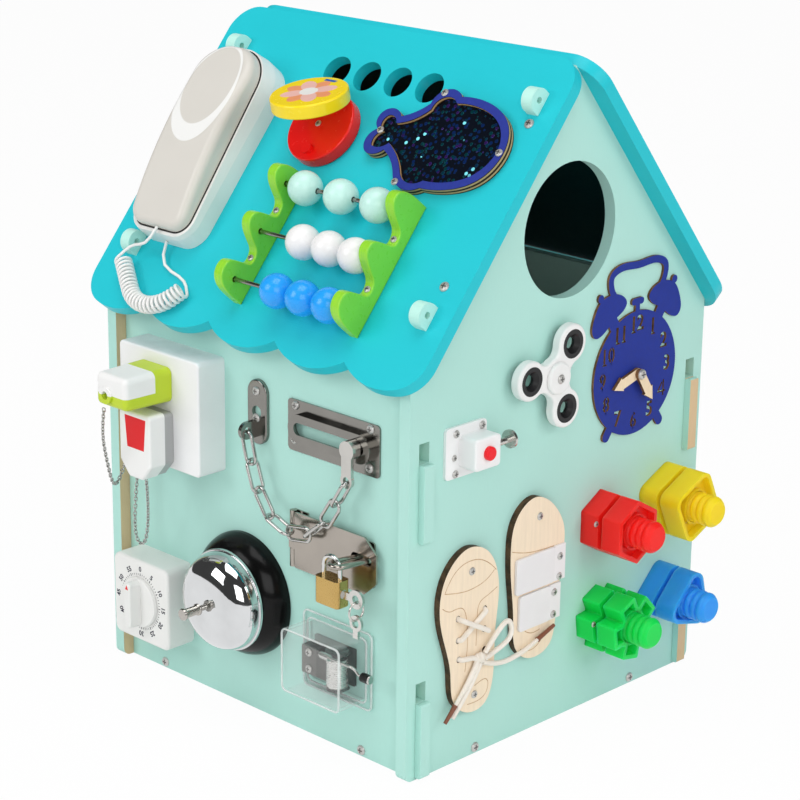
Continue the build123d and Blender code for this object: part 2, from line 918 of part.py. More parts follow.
# Spinner: three lobes on a fixed post, each lobe carrying a ring weight
spinner_face = on_gable(spinner_y, spinner_z, spinner_standoff + 0.3)
lobe_turns = [spinner_turn + 120 * n for n in range(3)]
lobe_places = [
    (spinner_arm * math.cos(math.radians(t)), spinner_arm * math.sin(math.radians(t))) for t in lobe_turns
]
with BuildPart() as spinner_body:
    with BuildSketch(spinner_face):
        Circle(spinner_lobe)
        with Locations(*lobe_places):
            Circle(spinner_lobe)
        fillet(vertices(), spinner_neck)
        Circle(hub_post / 2 + hub_clearance, mode=Mode.SUBTRACT)
        with Locations(*lobe_places):
            Circle(weight_diameter / 2 + 0.05, mode=Mode.SUBTRACT)
    extrude(amount=spinner_thickness)
    flat = faces().sort_by(Axis.X)
    fillet([flat[0].outer_wire().edges(), flat[-1].outer_wire().edges()], 1.8)
keep(spinner_body.part, "spinner_body")

with BuildPart() as spinner_weights:
    with BuildSketch(spinner_face):
        with Locations(*lobe_places):
            Circle(weight_diameter / 2)
            Circle(weight_bore / 2, mode=Mode.SUBTRACT)
    extrude(amount=spinner_thickness)
    bores = edges().filter_by(GeomType.CIRCLE).filter_by(lambda e: abs(e.radius - weight_bore / 2) < 0.1)
    chamfer(bores, 2.8)
keep(spinner_weights.part, "spinner_weights")

with BuildPart() as spinner_hub:
    with BuildSketch(on_gable(spinner_y, spinner_z)):
        Circle(spinner_lobe - 5)
    extrude(amount=spinner_standoff)
    with BuildSketch(on_gable(spinner_y, spinner_z)):
        Circle(hub_post / 2)
    extrude(amount=spinner_standoff + spinner_thickness + 0.6)
    with BuildSketch(on_gable(spinner_y, spinner_z, spinner_standoff + spinner_thickness + 0.6)):
        Circle(hub_cap / 2)
    extrude(amount=2.6)
    fillet(edges().sort_by(Axis.X)[-1], 1.8)
keep(spinner_hub.part, "spinner_hub")

# Clock: a flat board with bells, handle, hammer and feet, and a pivot for the hands
hand_level = clock_board + 0.5
minute_level = hand_level + hand_board + hand_gap
pivot_level = minute_level + hand_board + 0.3
dial = clock_diameter / 2


# Bell beside the dial: an egg-shaped cup on a short neck, with a knob on top
def clock_bell_outline(side):
    cup = [
        (23, 60.4),
        (32.5, 60.4),
        (40, 57.3),
        (44.2, 52),
        (47.3, 44.5),
        (47.9, 37),
        (44.5, 33),
        (39.5, 33.2),
        (31.2, 38),
        (22, 44),
        (14.6, 48.2),
        (12.2, 52.5),
        (15.2, 57),
    ]
    with BuildLine() as outline:
        Spline(*[(side * u, v) for u, v in cup], periodic=True)
    make_face(outline.edges())
    with Locations(Location((side * 25, 39.3), 90 - side * 32.5)):
        Rectangle(9, clock_neck)
    with Locations((side * 39.8, 60)):
        Circle(2.9)


with BuildPart() as clock_face:
    with BuildSketch(on_gable(clock_y, clock_z)):
        Circle(dial)
        for side in (-1, 1):
            clock_bell_outline(side)
            with Locations(Location((side * 0.61 * dial, -0.855 * dial), 90 + side * 35.5)):
                SlotOverall(14, clock_foot)
        with BuildLine():
            Spline(
                (-25, 58.5),
                (-29.3, 66.5),
                (-29, 73),
                (-22.5, 77.2),
                (0, 77.4),
                (22.5, 77.2),
                (29, 73),
                (29.3, 66.5),
                (25, 58.5),
            )
        trace(line_width=clock_strap)
        with Locations((0, dial + 2)):
            Rectangle(4.5, 8)
        with Locations((0, dial + 6.8)):
            SlotOverall(13, 4.8)
    extrude(amount=clock_board)
    with BuildSketch(on_gable(clock_y, clock_z)):
        Circle(pivot_shank / 2)
    extrude(amount=pivot_level + 0.1)
    with BuildSketch(on_gable(clock_y, clock_z, pivot_level)):
        Circle(2.9)
    extrude(amount=1.4, taper=25)
keep(clock_face.part, "clock_face")


# Clock hand pointing along x: round at the pivot, arrow head at the tip
def hand_outline(length):
    shaft = length - hand_head
    Circle(hand_shaft / 2)
    with Locations((shaft / 2, 0)):
        Rectangle(shaft, hand_shaft)
    with BuildLine() as head:
        Polyline((shaft, -hand_width / 2), (length, 0), (shaft, hand_width / 2), close=True)
    make_face(head.edges())
    Circle(pivot_shank / 2 + 0.05, mode=Mode.SUBTRACT)


def hand_plane(level, turn):
    way = (0, math.cos(math.radians(turn)), math.sin(math.radians(turn)))
    return Plane(origin=(gable_face + level, clock_y, clock_z), x_dir=way, z_dir=(1, 0, 0))


with BuildPart() as hour_hand:
    with BuildSketch(hand_plane(hand_level, hour_hand_angle)):
        hand_outline(hour_hand_length)
    extrude(amount=hand_board)
keep(hour_hand.part, "hour_hand")

with BuildPart() as minute_hand:
    with BuildSketch(hand_plane(minute_level, minute_hand_angle)):
        hand_outline(minute_hand_length)
    extrude(amount=hand_board)
keep(minute_hand.part, "minute_hand")

# Push latch: plate and case with a sliding bolt and a red release button
bolt_start = latch_case_y - latch_case_length / 2 + 3
bolt_room = latch_case_length - 3


def bolt_plane(y):
    return Plane(origin=(gable_face + latch_bolt_out, y, latch_bolt_z), z_dir=(0, 1, 0))


with BuildPart() as latch_case:
    with BuildSketch(on_gable(latch_y, latch_z)):
        RectangleRounded(latch_plate_width, latch_plate_height, 3)
        for corner in [(-10, 12.6), (14.8, 11.8), (-10, -14.5)]:
            with Locations(corner):
                Circle(1.6, mode=Mode.SUBTRACT)
    extrude(amount=latch_plate)
    with BuildSketch(on_gable(latch_case_y, latch_z)):
        RectangleRounded(latch_case_length, latch_case_height, 3)
    extrude(amount=latch_case_depth)
    fillet(faces().sort_by(Axis.X)[-1].edges(), 1.5)
    with BuildSketch(bolt_plane(bolt_start)):
        Circle(latch_bolt_diameter / 2 + latch_fit)
    extrude(amount=bolt_room + 1, mode=Mode.SUBTRACT)
    with BuildSketch(on_gable(latch_button_y, latch_z, latch_case_depth - latch_button_deep)):
        Circle(latch_button_diameter / 2 + latch_fit)
    extrude(amount=latch_button_deep + 1, mode=Mode.SUBTRACT)
keep(latch_case.part, "latch_case")

bolt_back = bolt_start + latch_bolt_travel + 0.3
bolt_reach = latch_case_y + latch_case_length / 2 + latch_bolt_reach
with BuildPart() as latch_bolt:
    with BuildSketch(bolt_plane(bolt_back)):
        Circle(latch_bolt_diameter / 2)
    extrude(amount=bolt_reach - bolt_back)
    with BuildSketch(bolt_plane(bolt_reach)):
        Circle(latch_knob / 2)
    extrude(amount=latch_knob_thickness)
keep(latch_bolt.part, "latch_bolt")

button_start = latch_case_depth - latch_button_proud + 0.3
with BuildPart() as latch_button:
    with BuildSketch(on_gable(latch_button_y, latch_z, button_start)):
        Circle(latch_button_diameter / 2)
    extrude(amount=latch_case_depth + latch_button_proud - button_start)
    fillet(edges().sort_by(Axis.X)[-1], 1.5)
keep(latch_button.part, "latch_button")


# Shoe soles: two cut boards, one for lacing and one with straps
def shoe_outline(points):
    with BuildLine() as outline:
        Spline(*points, periodic=True)
    make_face(outline.edges())


lace_sole = [
    (6, 34.2),
    (22.5, 24.5),
    (30.8, 4),
    (28.5, -32),
    (27.8, -60),
    (19, -82.5),
    (3, -84),
    (-12, -71),
    (-15, -50),
    (-23.5, -20),
    (-26.2, 2),
    (-19.5, 21.5),
    (-7, 32.3),
]
strap_sole = [
    (3, 32),
    (14, 26.2),
    (22.5, 17.4),
    (29.5, 4),
    (30.3, -8),
    (27.5, -29),
    (23.5, -60),
    (17.5, -80),
    (5, -84.8),
    (-9.4, -81.4),
    (-17.5, -73),
    (-20.5, -51.5),
    (-24, -20),
    (-24.8, 0),
    (-21.4, 18.5),
    (-8, 31.2),
]
strap_tab_middle = strap_hinge_y + strap_tab / 2 + strap_gap
with BuildPart() as shoe_soles:
    with BuildSketch(on_gable(*lace_shoe)):
        shoe_outline(lace_sole)
        with Locations(*[(y - lace_shoe[0], z - lace_shoe[1]) for y, z in lace_holes]):
            Circle(lace_hole / 2, mode=Mode.SUBTRACT)
    extrude(amount=shoe_board)
    with BuildSketch(on_gable(*strap_shoe)):
        shoe_outline(strap_sole)
    extrude(amount=shoe_board)
    for z, shift in [(strap_upper_z, 0), (strap_lower_z, strap_lower_shift)]:
        with BuildSketch(on_gable(strap_tab_middle + shift, z, shoe_board)):
            Rectangle(strap_tab, strap_height)
        extrude(amount=strap_thickness)
keep(shoe_soles.part, "shoe_soles")

with BuildPart() as strap_upper:
    with BuildSketch(on_gable(strap_hinge_y - strap_flap / 2, strap_upper_z, shoe_board + strap_gap)):
        RectangleRounded(strap_flap, strap_height, 2)
    extrude(amount=strap_thickness)
keep(strap_upper.part, "strap_upper")

strap_lower_y = strap_hinge_y + strap_lower_shift - strap_lower_flap / 2
with BuildPart() as strap_lower:
    with BuildSketch(on_gable(strap_lower_y, strap_lower_z, shoe_board + strap_gap)):
        RectangleRounded(strap_lower_flap, strap_height, 2)
    extrude(amount=strap_thickness)
keep(strap_lower.part, "strap_lower")

# Shoe lace: two crossed strands, one to the knot, bow loops and two free ends
lace_level = gable_face + shoe_board + lace_diameter / 2 + 0.3
lace_over = lace_level + lace_diameter + 0.3


def lace_point(place, level):
    return (level, place[0], place[1])


def lace_tube(points, elbow=0.0):
    radii = bend_radii([Vector(*p) for p in points])
    if elbow:
        radii = [min(elbow, r) for r in radii]
    with BuildLine() as run:
        FilletPolyline(*points, radius=radii)
    way = (Vector(*points[1]) - Vector(*points[0])).normalized()
    with BuildSketch(Plane(Vector(*points[0]), z_dir=way)) as section:
        Circle(lace_diameter / 2)
    sweep(section.sketch, path=run.wires()[0])


def strand(first, last, level):
    low = gable_face + 0.6
    up = [lace_point(first, low), lace_point(first, level)]
    down = [lace_point(last, level), lace_point(last, low)]
    lace_tube(up + down, lace_elbow)


with BuildPart() as shoe_lace:
    strand(lace_holes[0], lace_holes[3], lace_over)
    strand(lace_holes[1], lace_holes[2], lace_level)
    lace_tube(
        [
            lace_point(lace_holes[4], gable_face + 0.6),
            lace_point(lace_holes[4], lace_level),
            lace_point((knot_place[0] - 4, knot_place[1] + 1), lace_level),
        ],
        lace_elbow,
    )
    lace_tube(
        [
            lace_point((knot_place[0] + 2, knot_place[1] + 2), lace_level + 1),
            lace_point((-72, 90), lace_level + 2),
            lace_point((-60, 96), lace_level + 2),
            lace_point((-57, 82), lace_level + 2),
            lace_point((-70, 76), lace_level + 2),
            lace_point((knot_place[0] + 3, knot_place[1] - 1), lace_level + 1),
        ]
    )
    lace_tube(
        [
            lace_point((knot_place[0] + 2, knot_place[1] - 4), lace_level + 0.5),
            lace_point((-70, 63), lace_level),
            lace_point((-46, 65), lace_level + 1),
            lace_point((-13, 76), lace_level + 1),
        ]
    )
    lace_tube(
        [
            lace_point((knot_place[0] - 3, knot_place[1] - 3), lace_level + 0.5),
            lace_point((-99, 60), lace_level + 1),
            lace_point((-120, 36.5), lace_level),
        ]
    )
    lace_tube(
        [
            lace_point((knot_place[0], knot_place[1] - 4), lace_level + 0.5),
            lace_point((-95, 58), lace_level + 1),
            lace_point((-113, 38), lace_level),
        ]
    )
    with Locations(lace_point(knot_place, lace_level + knot_radius - lace_diameter / 2)):
        Sphere(knot_radius)
keep(shoe_lace.part, "shoe_lace")


# Outlines of the big nuts and bolt heads
def bolt_shape(colour):
    if colour == "red":
        RegularPolygon(bolt_across / 2, 6, major_radius=False, rotation=90)
        fillet(vertices(), 2)
    if colour == "yellow":
        RectangleRounded(bolt_across, bolt_across, 8, rotation=25)
    if colour == "blue":
        RegularPolygon(bolt_across * 0.78, 3, rotation=75)
        fillet(vertices(), 9)
    if colour == "green":
        Circle(bolt_across * 0.34)
        with PolarLocations(bolt_across * 0.4, 5, start_angle=43):
            Rectangle(bolt_across * 0.32, bolt_across * 0.42)
        fillet(vertices(), 1.2)


thread_reach = thread_core / 2 + thread_depth
shaft_length = bolt_length - bolt_head
with BuildPart() as toy_bolts:
    for colour, place in bolt_places.items():
        with BuildSketch(on_gable(*place)):
            bolt_shape(colour)
        extrude(amount=bolt_head)
        base = on_gable(place[0], place[1], bolt_head)
        with BuildSketch(Plane(origin=base.origin, x_dir=base.z_dir, z_dir=base.x_dir)):
            with BuildLine():
                Line((-1, 0), (-1, thread_core / 2))
                Line((-1, thread_core / 2), (bolt_gap, thread_core / 2))
                for ring in range(thread_rings):
                    start = bolt_gap + ring * thread_pitch
                    crest = (start + thread_pitch / 2, thread_reach)
                    ThreePointArc((start, thread_core / 2), crest, (start + thread_pitch, thread_core / 2))
                tip = bolt_gap + thread_rings * thread_pitch
                core = thread_core / 2
                Polyline((tip, core), (shaft_length - 1.5, core), (shaft_length, core - 1.5))
                Polyline((shaft_length, thread_core / 2 - 1.5), (shaft_length, 0), (-1, 0))
            make_face()
        revolve(axis=Axis(base.origin, base.z_dir))
keep(toy_bolts.part, "toy_bolts")

nut_start = bolt_head + bolt_gap
nut_bore = thread_reach + nut_bore_gap


# Nut: hollow in front, with a boss ring round the threaded bore
def big_nut(colour):
    place = bolt_places[colour]
    with BuildSketch(on_gable(place[0], place[1], nut_start)) as block:
        bolt_shape(colour)
    extrude(block.sketch, amount=nut_thickness)
    with BuildSketch(on_gable(place[0], place[1], nut_start + nut_thickness - nut_recess)) as hollow:
        bolt_shape(colour)
        offset(amount=-nut_wall, kind=Kind.INTERSECTION, mode=Mode.REPLACE)
        Circle(nut_boss / 2, mode=Mode.SUBTRACT)
    extrude(hollow.sketch, amount=nut_recess, mode=Mode.SUBTRACT)
    with BuildSketch(on_gable(place[0], place[1], nut_start + nut_thickness - nut_recess + 4)) as boss_top:
        Circle(nut_boss / 2)
    extrude(boss_top.sketch, amount=nut_recess, mode=Mode.SUBTRACT)
    with BuildSketch(on_gable(place[0], place[1], nut_start)) as bore:
        Circle(nut_bore)
    extrude(bore.sketch, amount=nut_thickness, mode=Mode.SUBTRACT)


with BuildPart() as nut_red:
    big_nut("red")
keep(nut_red.part, "nut_red")

with BuildPart() as nut_yellow:
    big_nut("yellow")
keep(nut_yellow.part, "nut_yellow")

with BuildPart() as nut_green:
    big_nut("green")
keep(nut_green.part, "nut_green")

with BuildPart() as nut_blue:
    big_nut("blue")
keep(nut_blue.part, "nut_blue")

# Socket box with pin holes for the two plug fobs
fob_places = [(green_x, green_z), (red_x, red_z)]
with BuildPart() as socket_box:
    with BuildSketch(on_front(socket_x, socket_z)):
        RectangleRounded(socket_size, socket_size - 1.5, socket_corner)
    extrude(amount=socket_depth)
    fillet(faces().sort_by(Axis.Y)[0].edges(), socket_edge)
    for x, z in fob_places:
        for side in (-1, 1):
            with BuildSketch(on_front(x + side * fob_pin_spread / 2, z, socket_depth)):
                Circle(fob_pin / 2 + fob_pin_gap)
            extrude(amount=-fob_pin_length - 0.6, mode=Mode.SUBTRACT)
keep(socket_box.part, "socket_box")


def fob_pins(x, z):
    for side in (-1, 1):
        with BuildSketch(on_front(x + side * fob_pin_spread / 2, z, socket_depth + fob_gap + 1)) as pin:
            Circle(fob_pin / 2)
        extrude(pin.sketch, amount=-fob_pin_length - 1)


fob_base = socket_depth + fob_gap
with BuildPart() as plug_green:
    with BuildSketch(on_front(green_x, green_z, fob_base)):
        RectangleRounded(green_width, green_height, 5)
    extrude(amount=green_length, taper=1.5)
    fillet(faces().sort_by(Axis.Y)[0].edges(), 4)
    with BuildSketch(on_front(green_x - 4, green_z - 3, fob_base + green_length - 1)):
        Circle(fob_eye)
    extrude(amount=3)
    with BuildSketch(on_front(green_x - 4, green_z - 3, fob_base + green_length - 5)):
        Circle(fob_eye / 2)
    extrude(amount=9, mode=Mode.SUBTRACT)
    fob_pins(green_x, green_z)
keep(plug_green.part, "plug_green")


# Front view of the flat plug, narrower towards its cable end
def red_outline(inset):
    half = red_width / 2 - inset
    top = red_height / 2 - 6 - inset
    with BuildLine() as outline:
        Polyline((-half, top), (half, top), (half, -16), (7 - inset, 6 - red_height / 2 - 6), close=False)
        Polyline((7 - inset, -red_height / 2), (inset - 7, -red_height / 2), (-half, -16), (-half, top))
    make_face(outline.edges())
    fillet(vertices(), 3)


with BuildPart() as plug_red:
    with BuildSketch(on_front(red_x, red_z, fob_base)):
        red_outline(1.2)
    extrude(amount=red_back)
    with BuildSketch(on_front(red_x, red_z, fob_base + red_back)):
        red_outline(0)
    extrude(amount=red_front)
    fillet(faces().sort_by(Axis.Y)[0].edges(), 2)
    fob_pins(red_x, red_z)
keep(plug_red.part, "plug_red")

# Chains of the fobs, drawn as slack round runs
green_eye_out = fob_base + green_length + 2.4
green_eye = (green_x - 4, -wall_face - green_eye_out, green_z - 3 - fob_eye - fob_chain / 2 - 0.3)
box_low = socket_z - (socket_size - 1.5) / 2 - 1.0
red_low = red_z - red_height / 2 - 1.0
fob_routes = [
    [
        green_eye,
        (-89, green_eye[1] + 1, 202),
        (-98, -196, 176),
        (-106, -184, 150),
        (-115, -170, 152),
        (-116, -161, box_low),
    ],
    [
        (-113, -154, box_low),
        (-115.5, -157, 134),
        (-113, -160, 102),
        (-97, -163, 103),
        (-88, -167, 136),
        (red_x, -wall_face - fob_base - red_back - 4, red_low),
    ],
]
with BuildPart() as plug_chains:
    for route in fob_routes:
        with BuildLine() as chain_line:
            FilletPolyline(*route, radius=bend_radii([Vector(*p) for p in route]))
        way = (Vector(*route[1]) - Vector(*route[0])).normalized()
        with BuildSketch(Plane(Vector(*route[0]), z_dir=way)) as section:
            Circle(fob_chain / 2)
        sweep(section.sketch, path=chain_line.wires()[0])
        print("fob chain", round(sum(e.length for e in chain_line.edges())), "mm")
keep(plug_chains.part, "plug_chains")

# Door chain plates: an end plate with a standing eye, and a slotted track
chain_plane = wall_face + chain_out
link_points = [Vector(end_plate_x, -chain_plane, chain_eye_z)]
for heading in chain_headings:
    step = Vector(math.cos(math.radians(heading)), 0, math.sin(math.radians(heading)))
    link_points.append(link_points[-1] + step * link_pitch)
slider_x = link_points[-1].X
eye_radius = 6.0
eye_bore = 5.6
lug = 3.0
track_inner_length = track_rim_length - 2 * track_rim_wall
track_inner_height = track_rim_height - 2 * track_rim_wall
with BuildPart() as chain_plates:
    with BuildSketch(on_front(end_plate_x, end_plate_z)):
        SlotOverall(end_plate_length, end_plate_width, rotation=90)
        Circle(4.5, mode=Mode.SUBTRACT)
    extrude(amount=end_plate_thickness)
    fillet(edges().filter_by(GeomType.LINE).sort_by(Axis.Y)[:2], 1.2)
    lug_plane = Plane(
        origin=(end_plate_x - lug / 2, -chain_plane, chain_eye_z + eye_bore / 2 - 0.8),
        x_dir=(0, 1, 0),
        z_dir=(1, 0, 0),
    )
    with BuildSketch(lug_plane):
        Circle(eye_radius)
        with Locations(((chain_out - end_plate_thickness + 0.5) / 2, 0)):
            Rectangle(chain_out - end_plate_thickness + 0.5, 2 * eye_radius)
        Circle(eye_bore / 2, mode=Mode.SUBTRACT)
    extrude(amount=lug)
    with BuildSketch(on_front(track_x, track_z)):
        RectangleRounded(track_width, track_height, 3)
        SlotOverall(track_inner_length, track_inner_height, mode=Mode.SUBTRACT)
    extrude(amount=track_plate)
    with BuildSketch(on_front(track_x, track_z)):
        SlotOverall(track_rim_length, track_rim_height)
        SlotOverall(track_inner_length, track_inner_height, mode=Mode.SUBTRACT)
    extrude(amount=track_rim_out)
    with BuildSketch(on_front(track_x, track_z, track_rim_out - track_face)):
        SlotOverall(track_rim_length - 1, track_rim_height - 1)
        SlotOverall(track_slot_length, track_slot, mode=Mode.SUBTRACT)
    extrude(amount=track_face)
keep(chain_plates.part, "chain_plates")

# Slider: foot behind the slot, neck through it, knob and tongue in front
tongue = 2.6
tongue_foot = link_points[-1].Z + eye_bore / 2 - 0.6
with BuildPart() as chain_slider:
    with BuildSketch(on_front(slider_x, track_z, 1.0)):
        Circle(slider_foot / 2)
    extrude(amount=track_rim_out - track_face - 0.3 - 1.0)
    with BuildSketch(on_front(slider_x, track_z, 1.0)):
        Circle(slider_neck / 2)
    extrude(amount=track_rim_out + 1.0)
    with BuildSketch(on_front(slider_x, track_z, track_rim_out + 0.3)):
        Circle(slider_knob / 2)
    extrude(amount=chain_out + tongue / 2 - track_rim_out - 0.3)
    with BuildSketch(on_front(slider_x, 0, chain_out - tongue / 2)):
        with Locations((0, (track_z + tongue_foot) / 2)):
            Rectangle(2 * eye_radius - 3, track_z - tongue_foot)
        with Locations((0, track_z)):
            Circle(slider_knob / 2 - 0.4)
        with Locations((0, tongue_foot)):
            Circle(eye_radius - 0.8)
            Circle(eye_bore / 2, mode=Mode.SUBTRACT)
    extrude(amount=tongue)
keep(chain_slider.part, "chain_slider")

# Door chain: welded links, each turned a quarter from the last
link_radius = (link_width - link_wire) / 2
link_half = (link_pitch + link_wire + link_slack) / 2 - link_radius
with BuildPart() as door_chain:
    for n in range(len(chain_headings)):
        middle = (link_points[n] + link_points[n + 1]) * 0.5
        way = (link_points[n + 1] - link_points[n]).normalized()
        flat = Vector(0, -1, 0) if n % 2 == 0 else way.cross(Vector(0, -1, 0))
        link_plane = Plane(origin=middle, x_dir=way, z_dir=flat)
        with BuildLine(link_plane) as link_line:
            Line((-link_half, link_radius), (link_half, link_radius))
            ThreePointArc((link_half, link_radius), (link_half + link_radius, 0), (link_half, -link_radius))
            Line((link_half, -link_radius), (-link_half, -link_radius))
            tail = (-link_half - link_radius, 0)
            ThreePointArc((-link_half, -link_radius), tail, (-link_half, link_radius))
        path = Wire(link_line.edges())
        with BuildSketch(Plane(path @ 0, z_dir=path % 0)) as section:
            Circle(link_wire / 2)
        sweep(section.sketch, path=path)
keep(door_chain.part, "door_chain")

# Hasp: a fixed leaf with the staple, and the hinged leaf that closes over it
hinge_x = hasp_x - hasp_length / 2 + knuckle_diameter / 2
hinge_out = hasp_lift + knuckle_diameter / 2
leaf_right = hasp_x + hasp_length / 2
fixed_sheet = 1.2
hinge_low = hasp_z - 1.5 * knuckle_length
staple_way = Vector(-math.sin(math.radians(staple_lean)), -math.cos(math.radians(staple_lean)), 0)
staple_side = Vector(staple_way.Y, -staple_way.X, 0)
staple_foot = Vector(hasp_slot_x, -wall_face - 0.2, hasp_slot_z)
staple_run = staple_reach / math.cos(math.radians(staple_lean)) - staple_width / 2
with BuildPart() as hasp_base:
    with BuildSketch(on_front(hasp_x, hasp_z)):
        RectangleRounded(hasp_length - 12, hasp_height - 8, 2)
    extrude(amount=fixed_sheet)
    for low in (0, 2):
        middle = hinge_low + (low + 0.5) * knuckle_length
        hinge_plane = Plane(origin=(hinge_x, -wall_face - hinge_out, middle - knuckle_length / 2 + 0.15))
        with BuildSketch(hinge_plane):
            Circle(knuckle_diameter / 2)
            with Locations((6, hinge_out - fixed_sheet / 2)):
                Rectangle(12, fixed_sheet)
            with Locations((0, (hinge_out - 0) / 2)):
                Rectangle(knuckle_diameter - 2, hinge_out)
        extrude(amount=knuckle_length - 0.3)
    with BuildSketch(Plane(origin=(hinge_x, -wall_face - hinge_out, hinge_low))):
        Circle(knuckle_pin / 2)
    extrude(amount=3 * knuckle_length)
    with BuildLine() as staple_line:
        side = staple_side * (staple_width / 2)
        far = staple_foot + staple_way * staple_run
        Line(staple_foot + side, far + side)
        ThreePointArc(far + side, far + staple_way * (staple_width / 2), far - side)
        Line(far - side, staple_foot - side)
    with BuildSketch(Plane(staple_foot + side, z_dir=staple_way)) as section:
        Circle(staple_wire / 2)
    sweep(section.sketch, path=staple_line.wires()[0])
    with BuildSketch(on_front(0, 0, -1)):
        with Locations((hasp_x, hasp_z)):
            Rectangle(hasp_length + 20, hasp_height + 20)
    extrude(amount=1, mode=Mode.SUBTRACT)
keep(hasp_base.part, "hasp_base")

leaf_out = hinge_out + knuckle_diameter / 2 - hasp_sheet
with BuildPart() as hasp_leaf:
    with BuildSketch(on_front(0, 0, leaf_out)):
        with BuildLine():
            left = hinge_x + knuckle_diameter / 2 + 1
            low = hasp_z - hasp_height / 2
            high = hasp_z + hasp_height / 2
            Polyline(
                (left, low),
                (leaf_right - 11, low),
                (leaf_right, low + 10),
                (leaf_right, high - 10),
                (leaf_right - 11, high),
                (left, high),
                close=True,
            )
        make_face()
        fillet(vertices(), 1.5)
        with Locations((hinge_x + 2, hasp_z)):
            Rectangle(8, knuckle_length - 0.3)
        with Locations((hasp_slot_x - 1, hasp_slot_z)):
            SlotOverall(hasp_slot_width, hasp_slot_height, mode=Mode.SUBTRACT)
    extrude(amount=hasp_sheet)
    with BuildSketch(Plane(origin=(hinge_x, -wall_face - hinge_out, hasp_z - knuckle_length / 2 + 0.15))):
        Circle(knuckle_diameter / 2)
    extrude(amount=knuckle_length - 0.3)
    with BuildSketch(Plane(origin=(hinge_x, -wall_face - hinge_out, hasp_z - knuckle_length))):
        Circle(knuckle_pin / 2 + pin_gap)
    extrude(amount=2 * knuckle_length, mode=Mode.SUBTRACT)
keep(hasp_leaf.part, "hasp_leaf")

# Padlock: shackle through the staple, body, key with its ring and spare key
arch = shackle_spread / 2
staple_rest = staple_foot + staple_way * ((padlock_out) / math.cos(math.radians(staple_lean)))
rest_x = staple_rest.X - (staple_width / 2) / math.cos(math.radians(staple_lean))
arch_inner = arch - shackle_wire / 2
arch_z = hasp_slot_z + staple_wire / 2 + 0.3 - math.sqrt(arch_inner**2 - (rest_x - padlock_x) ** 2)
padlock_y = -wall_face - padlock_out
padlock_top = arch_z - shackle_leg
with BuildPart() as padlock_shackle:
    with BuildLine() as shackle_line:
        left = padlock_x - arch
        right = padlock_x + arch
        foot = padlock_top - shackle_deep
        Line((left, padlock_y, foot), (left, padlock_y, arch_z))
        crown = (padlock_x, padlock_y, arch_z + arch)
        ThreePointArc((left, padlock_y, arch_z), crown, (right, padlock_y, arch_z))
        Line((right, padlock_y, arch_z), (right, padlock_y, foot))
    with BuildSketch(Plane((left, padlock_y, foot), z_dir=(0, 0, 1))) as section:
        Circle(shackle_wire / 2)
    sweep(section.sketch, path=shackle_line.wires()[0])
keep(padlock_shackle.part, "padlock_shackle")

key_z = padlock_top - key_drop
key_x = padlock_x + padlock_width / 2
key_side = Plane(origin=(key_x, padlock_y, key_z), x_dir=(0, 1, 0), z_dir=(1, 0, 0))
with BuildPart() as padlock_body:
    with BuildSketch(Plane(origin=(padlock_x, padlock_y, padlock_top - padlock_height))):
        RectangleRounded(padlock_width, padlock_depth, 3)
    extrude(amount=padlock_height)
    fillet(faces().sort_by(Axis.Z)[0].edges(), 1)
    with BuildSketch(Plane(origin=(padlock_x, padlock_y, padlock_top - shackle_deep - 0.5))):
        with Locations((-arch, 0), (arch, 0)):
            Circle(shackle_wire / 2 + shackle_gap)
    extrude(amount=shackle_deep + 5, mode=Mode.SUBTRACT)
    with BuildSketch(key_side):
        Circle(key_plug / 2 + shackle_gap)
    extrude(amount=-key_plug_length - 0.3, mode=Mode.SUBTRACT)
keep(padlock_body.part, "padlock_body")

# Key: plug in the lock, flat blade and a round bow with a hole
bow_x = key_x + key_neck + key_bow / 2 + 1


def key_plane(z):
    return Plane(origin=(bow_x, padlock_y - key_blade / 2, z), x_dir=(1, 0, 0), z_dir=(0, 1, 0))


with BuildPart() as padlock_key:
    with BuildSketch(key_side):
        Circle(key_plug / 2)
    extrude(amount=-key_plug_length)
    with BuildSketch(key_plane(key_z)):
        Circle(key_bow / 2)
        with Locations((-(bow_x - key_x) / 2, 0)):
            Rectangle(bow_x - key_x + 0.2, 5)
        Circle(key_hole / 2, mode=Mode.SUBTRACT)
    extrude(amount=key_blade)
keep(padlock_key.part, "padlock_key")

ring_z = key_z - key_ring_diameter / 2 - key_hole / 2 + key_wire / 2 + 0.3
spare_z = ring_z - key_ring_diameter / 2 - key_hole / 2 + key_wire / 2 + 0.3
with BuildPart() as key_ring:
    with Locations(Plane(origin=(bow_x, padlock_y, ring_z), z_dir=(1, 0, 0))):
        Torus(key_ring_diameter / 2, key_wire / 2)
    with BuildSketch(key_plane(spare_z)):
        Circle(key_bow / 2 - 1)
        with Locations((0, key_bow / 2 + 1)):
            Rectangle(4.5, 6)
        Circle(key_hole / 2, mode=Mode.SUBTRACT)
    extrude(amount=key_blade)
keep(key_ring.part, "key_ring")

# Call bell: black base with a post, steel dome on the post, press button
bell_axis = Axis((bell_x, -wall_face, bell_z), (0, -1, 0))
bell_profile = Plane(origin=(bell_x, -wall_face, bell_z), x_dir=(1, 0, 0), z_dir=(0, 0, 1))
dome_top = bell_dome_base + bell_dome_height
dome_foot = bell_dome_base + 0.4


# Radius of the dome at a share of its height: steep sides and a flatter crown
def dome_radius(share):
    return bell_dome / 2 * (1 - share**bell_dome_fullness) ** (1 / bell_dome_fullness)


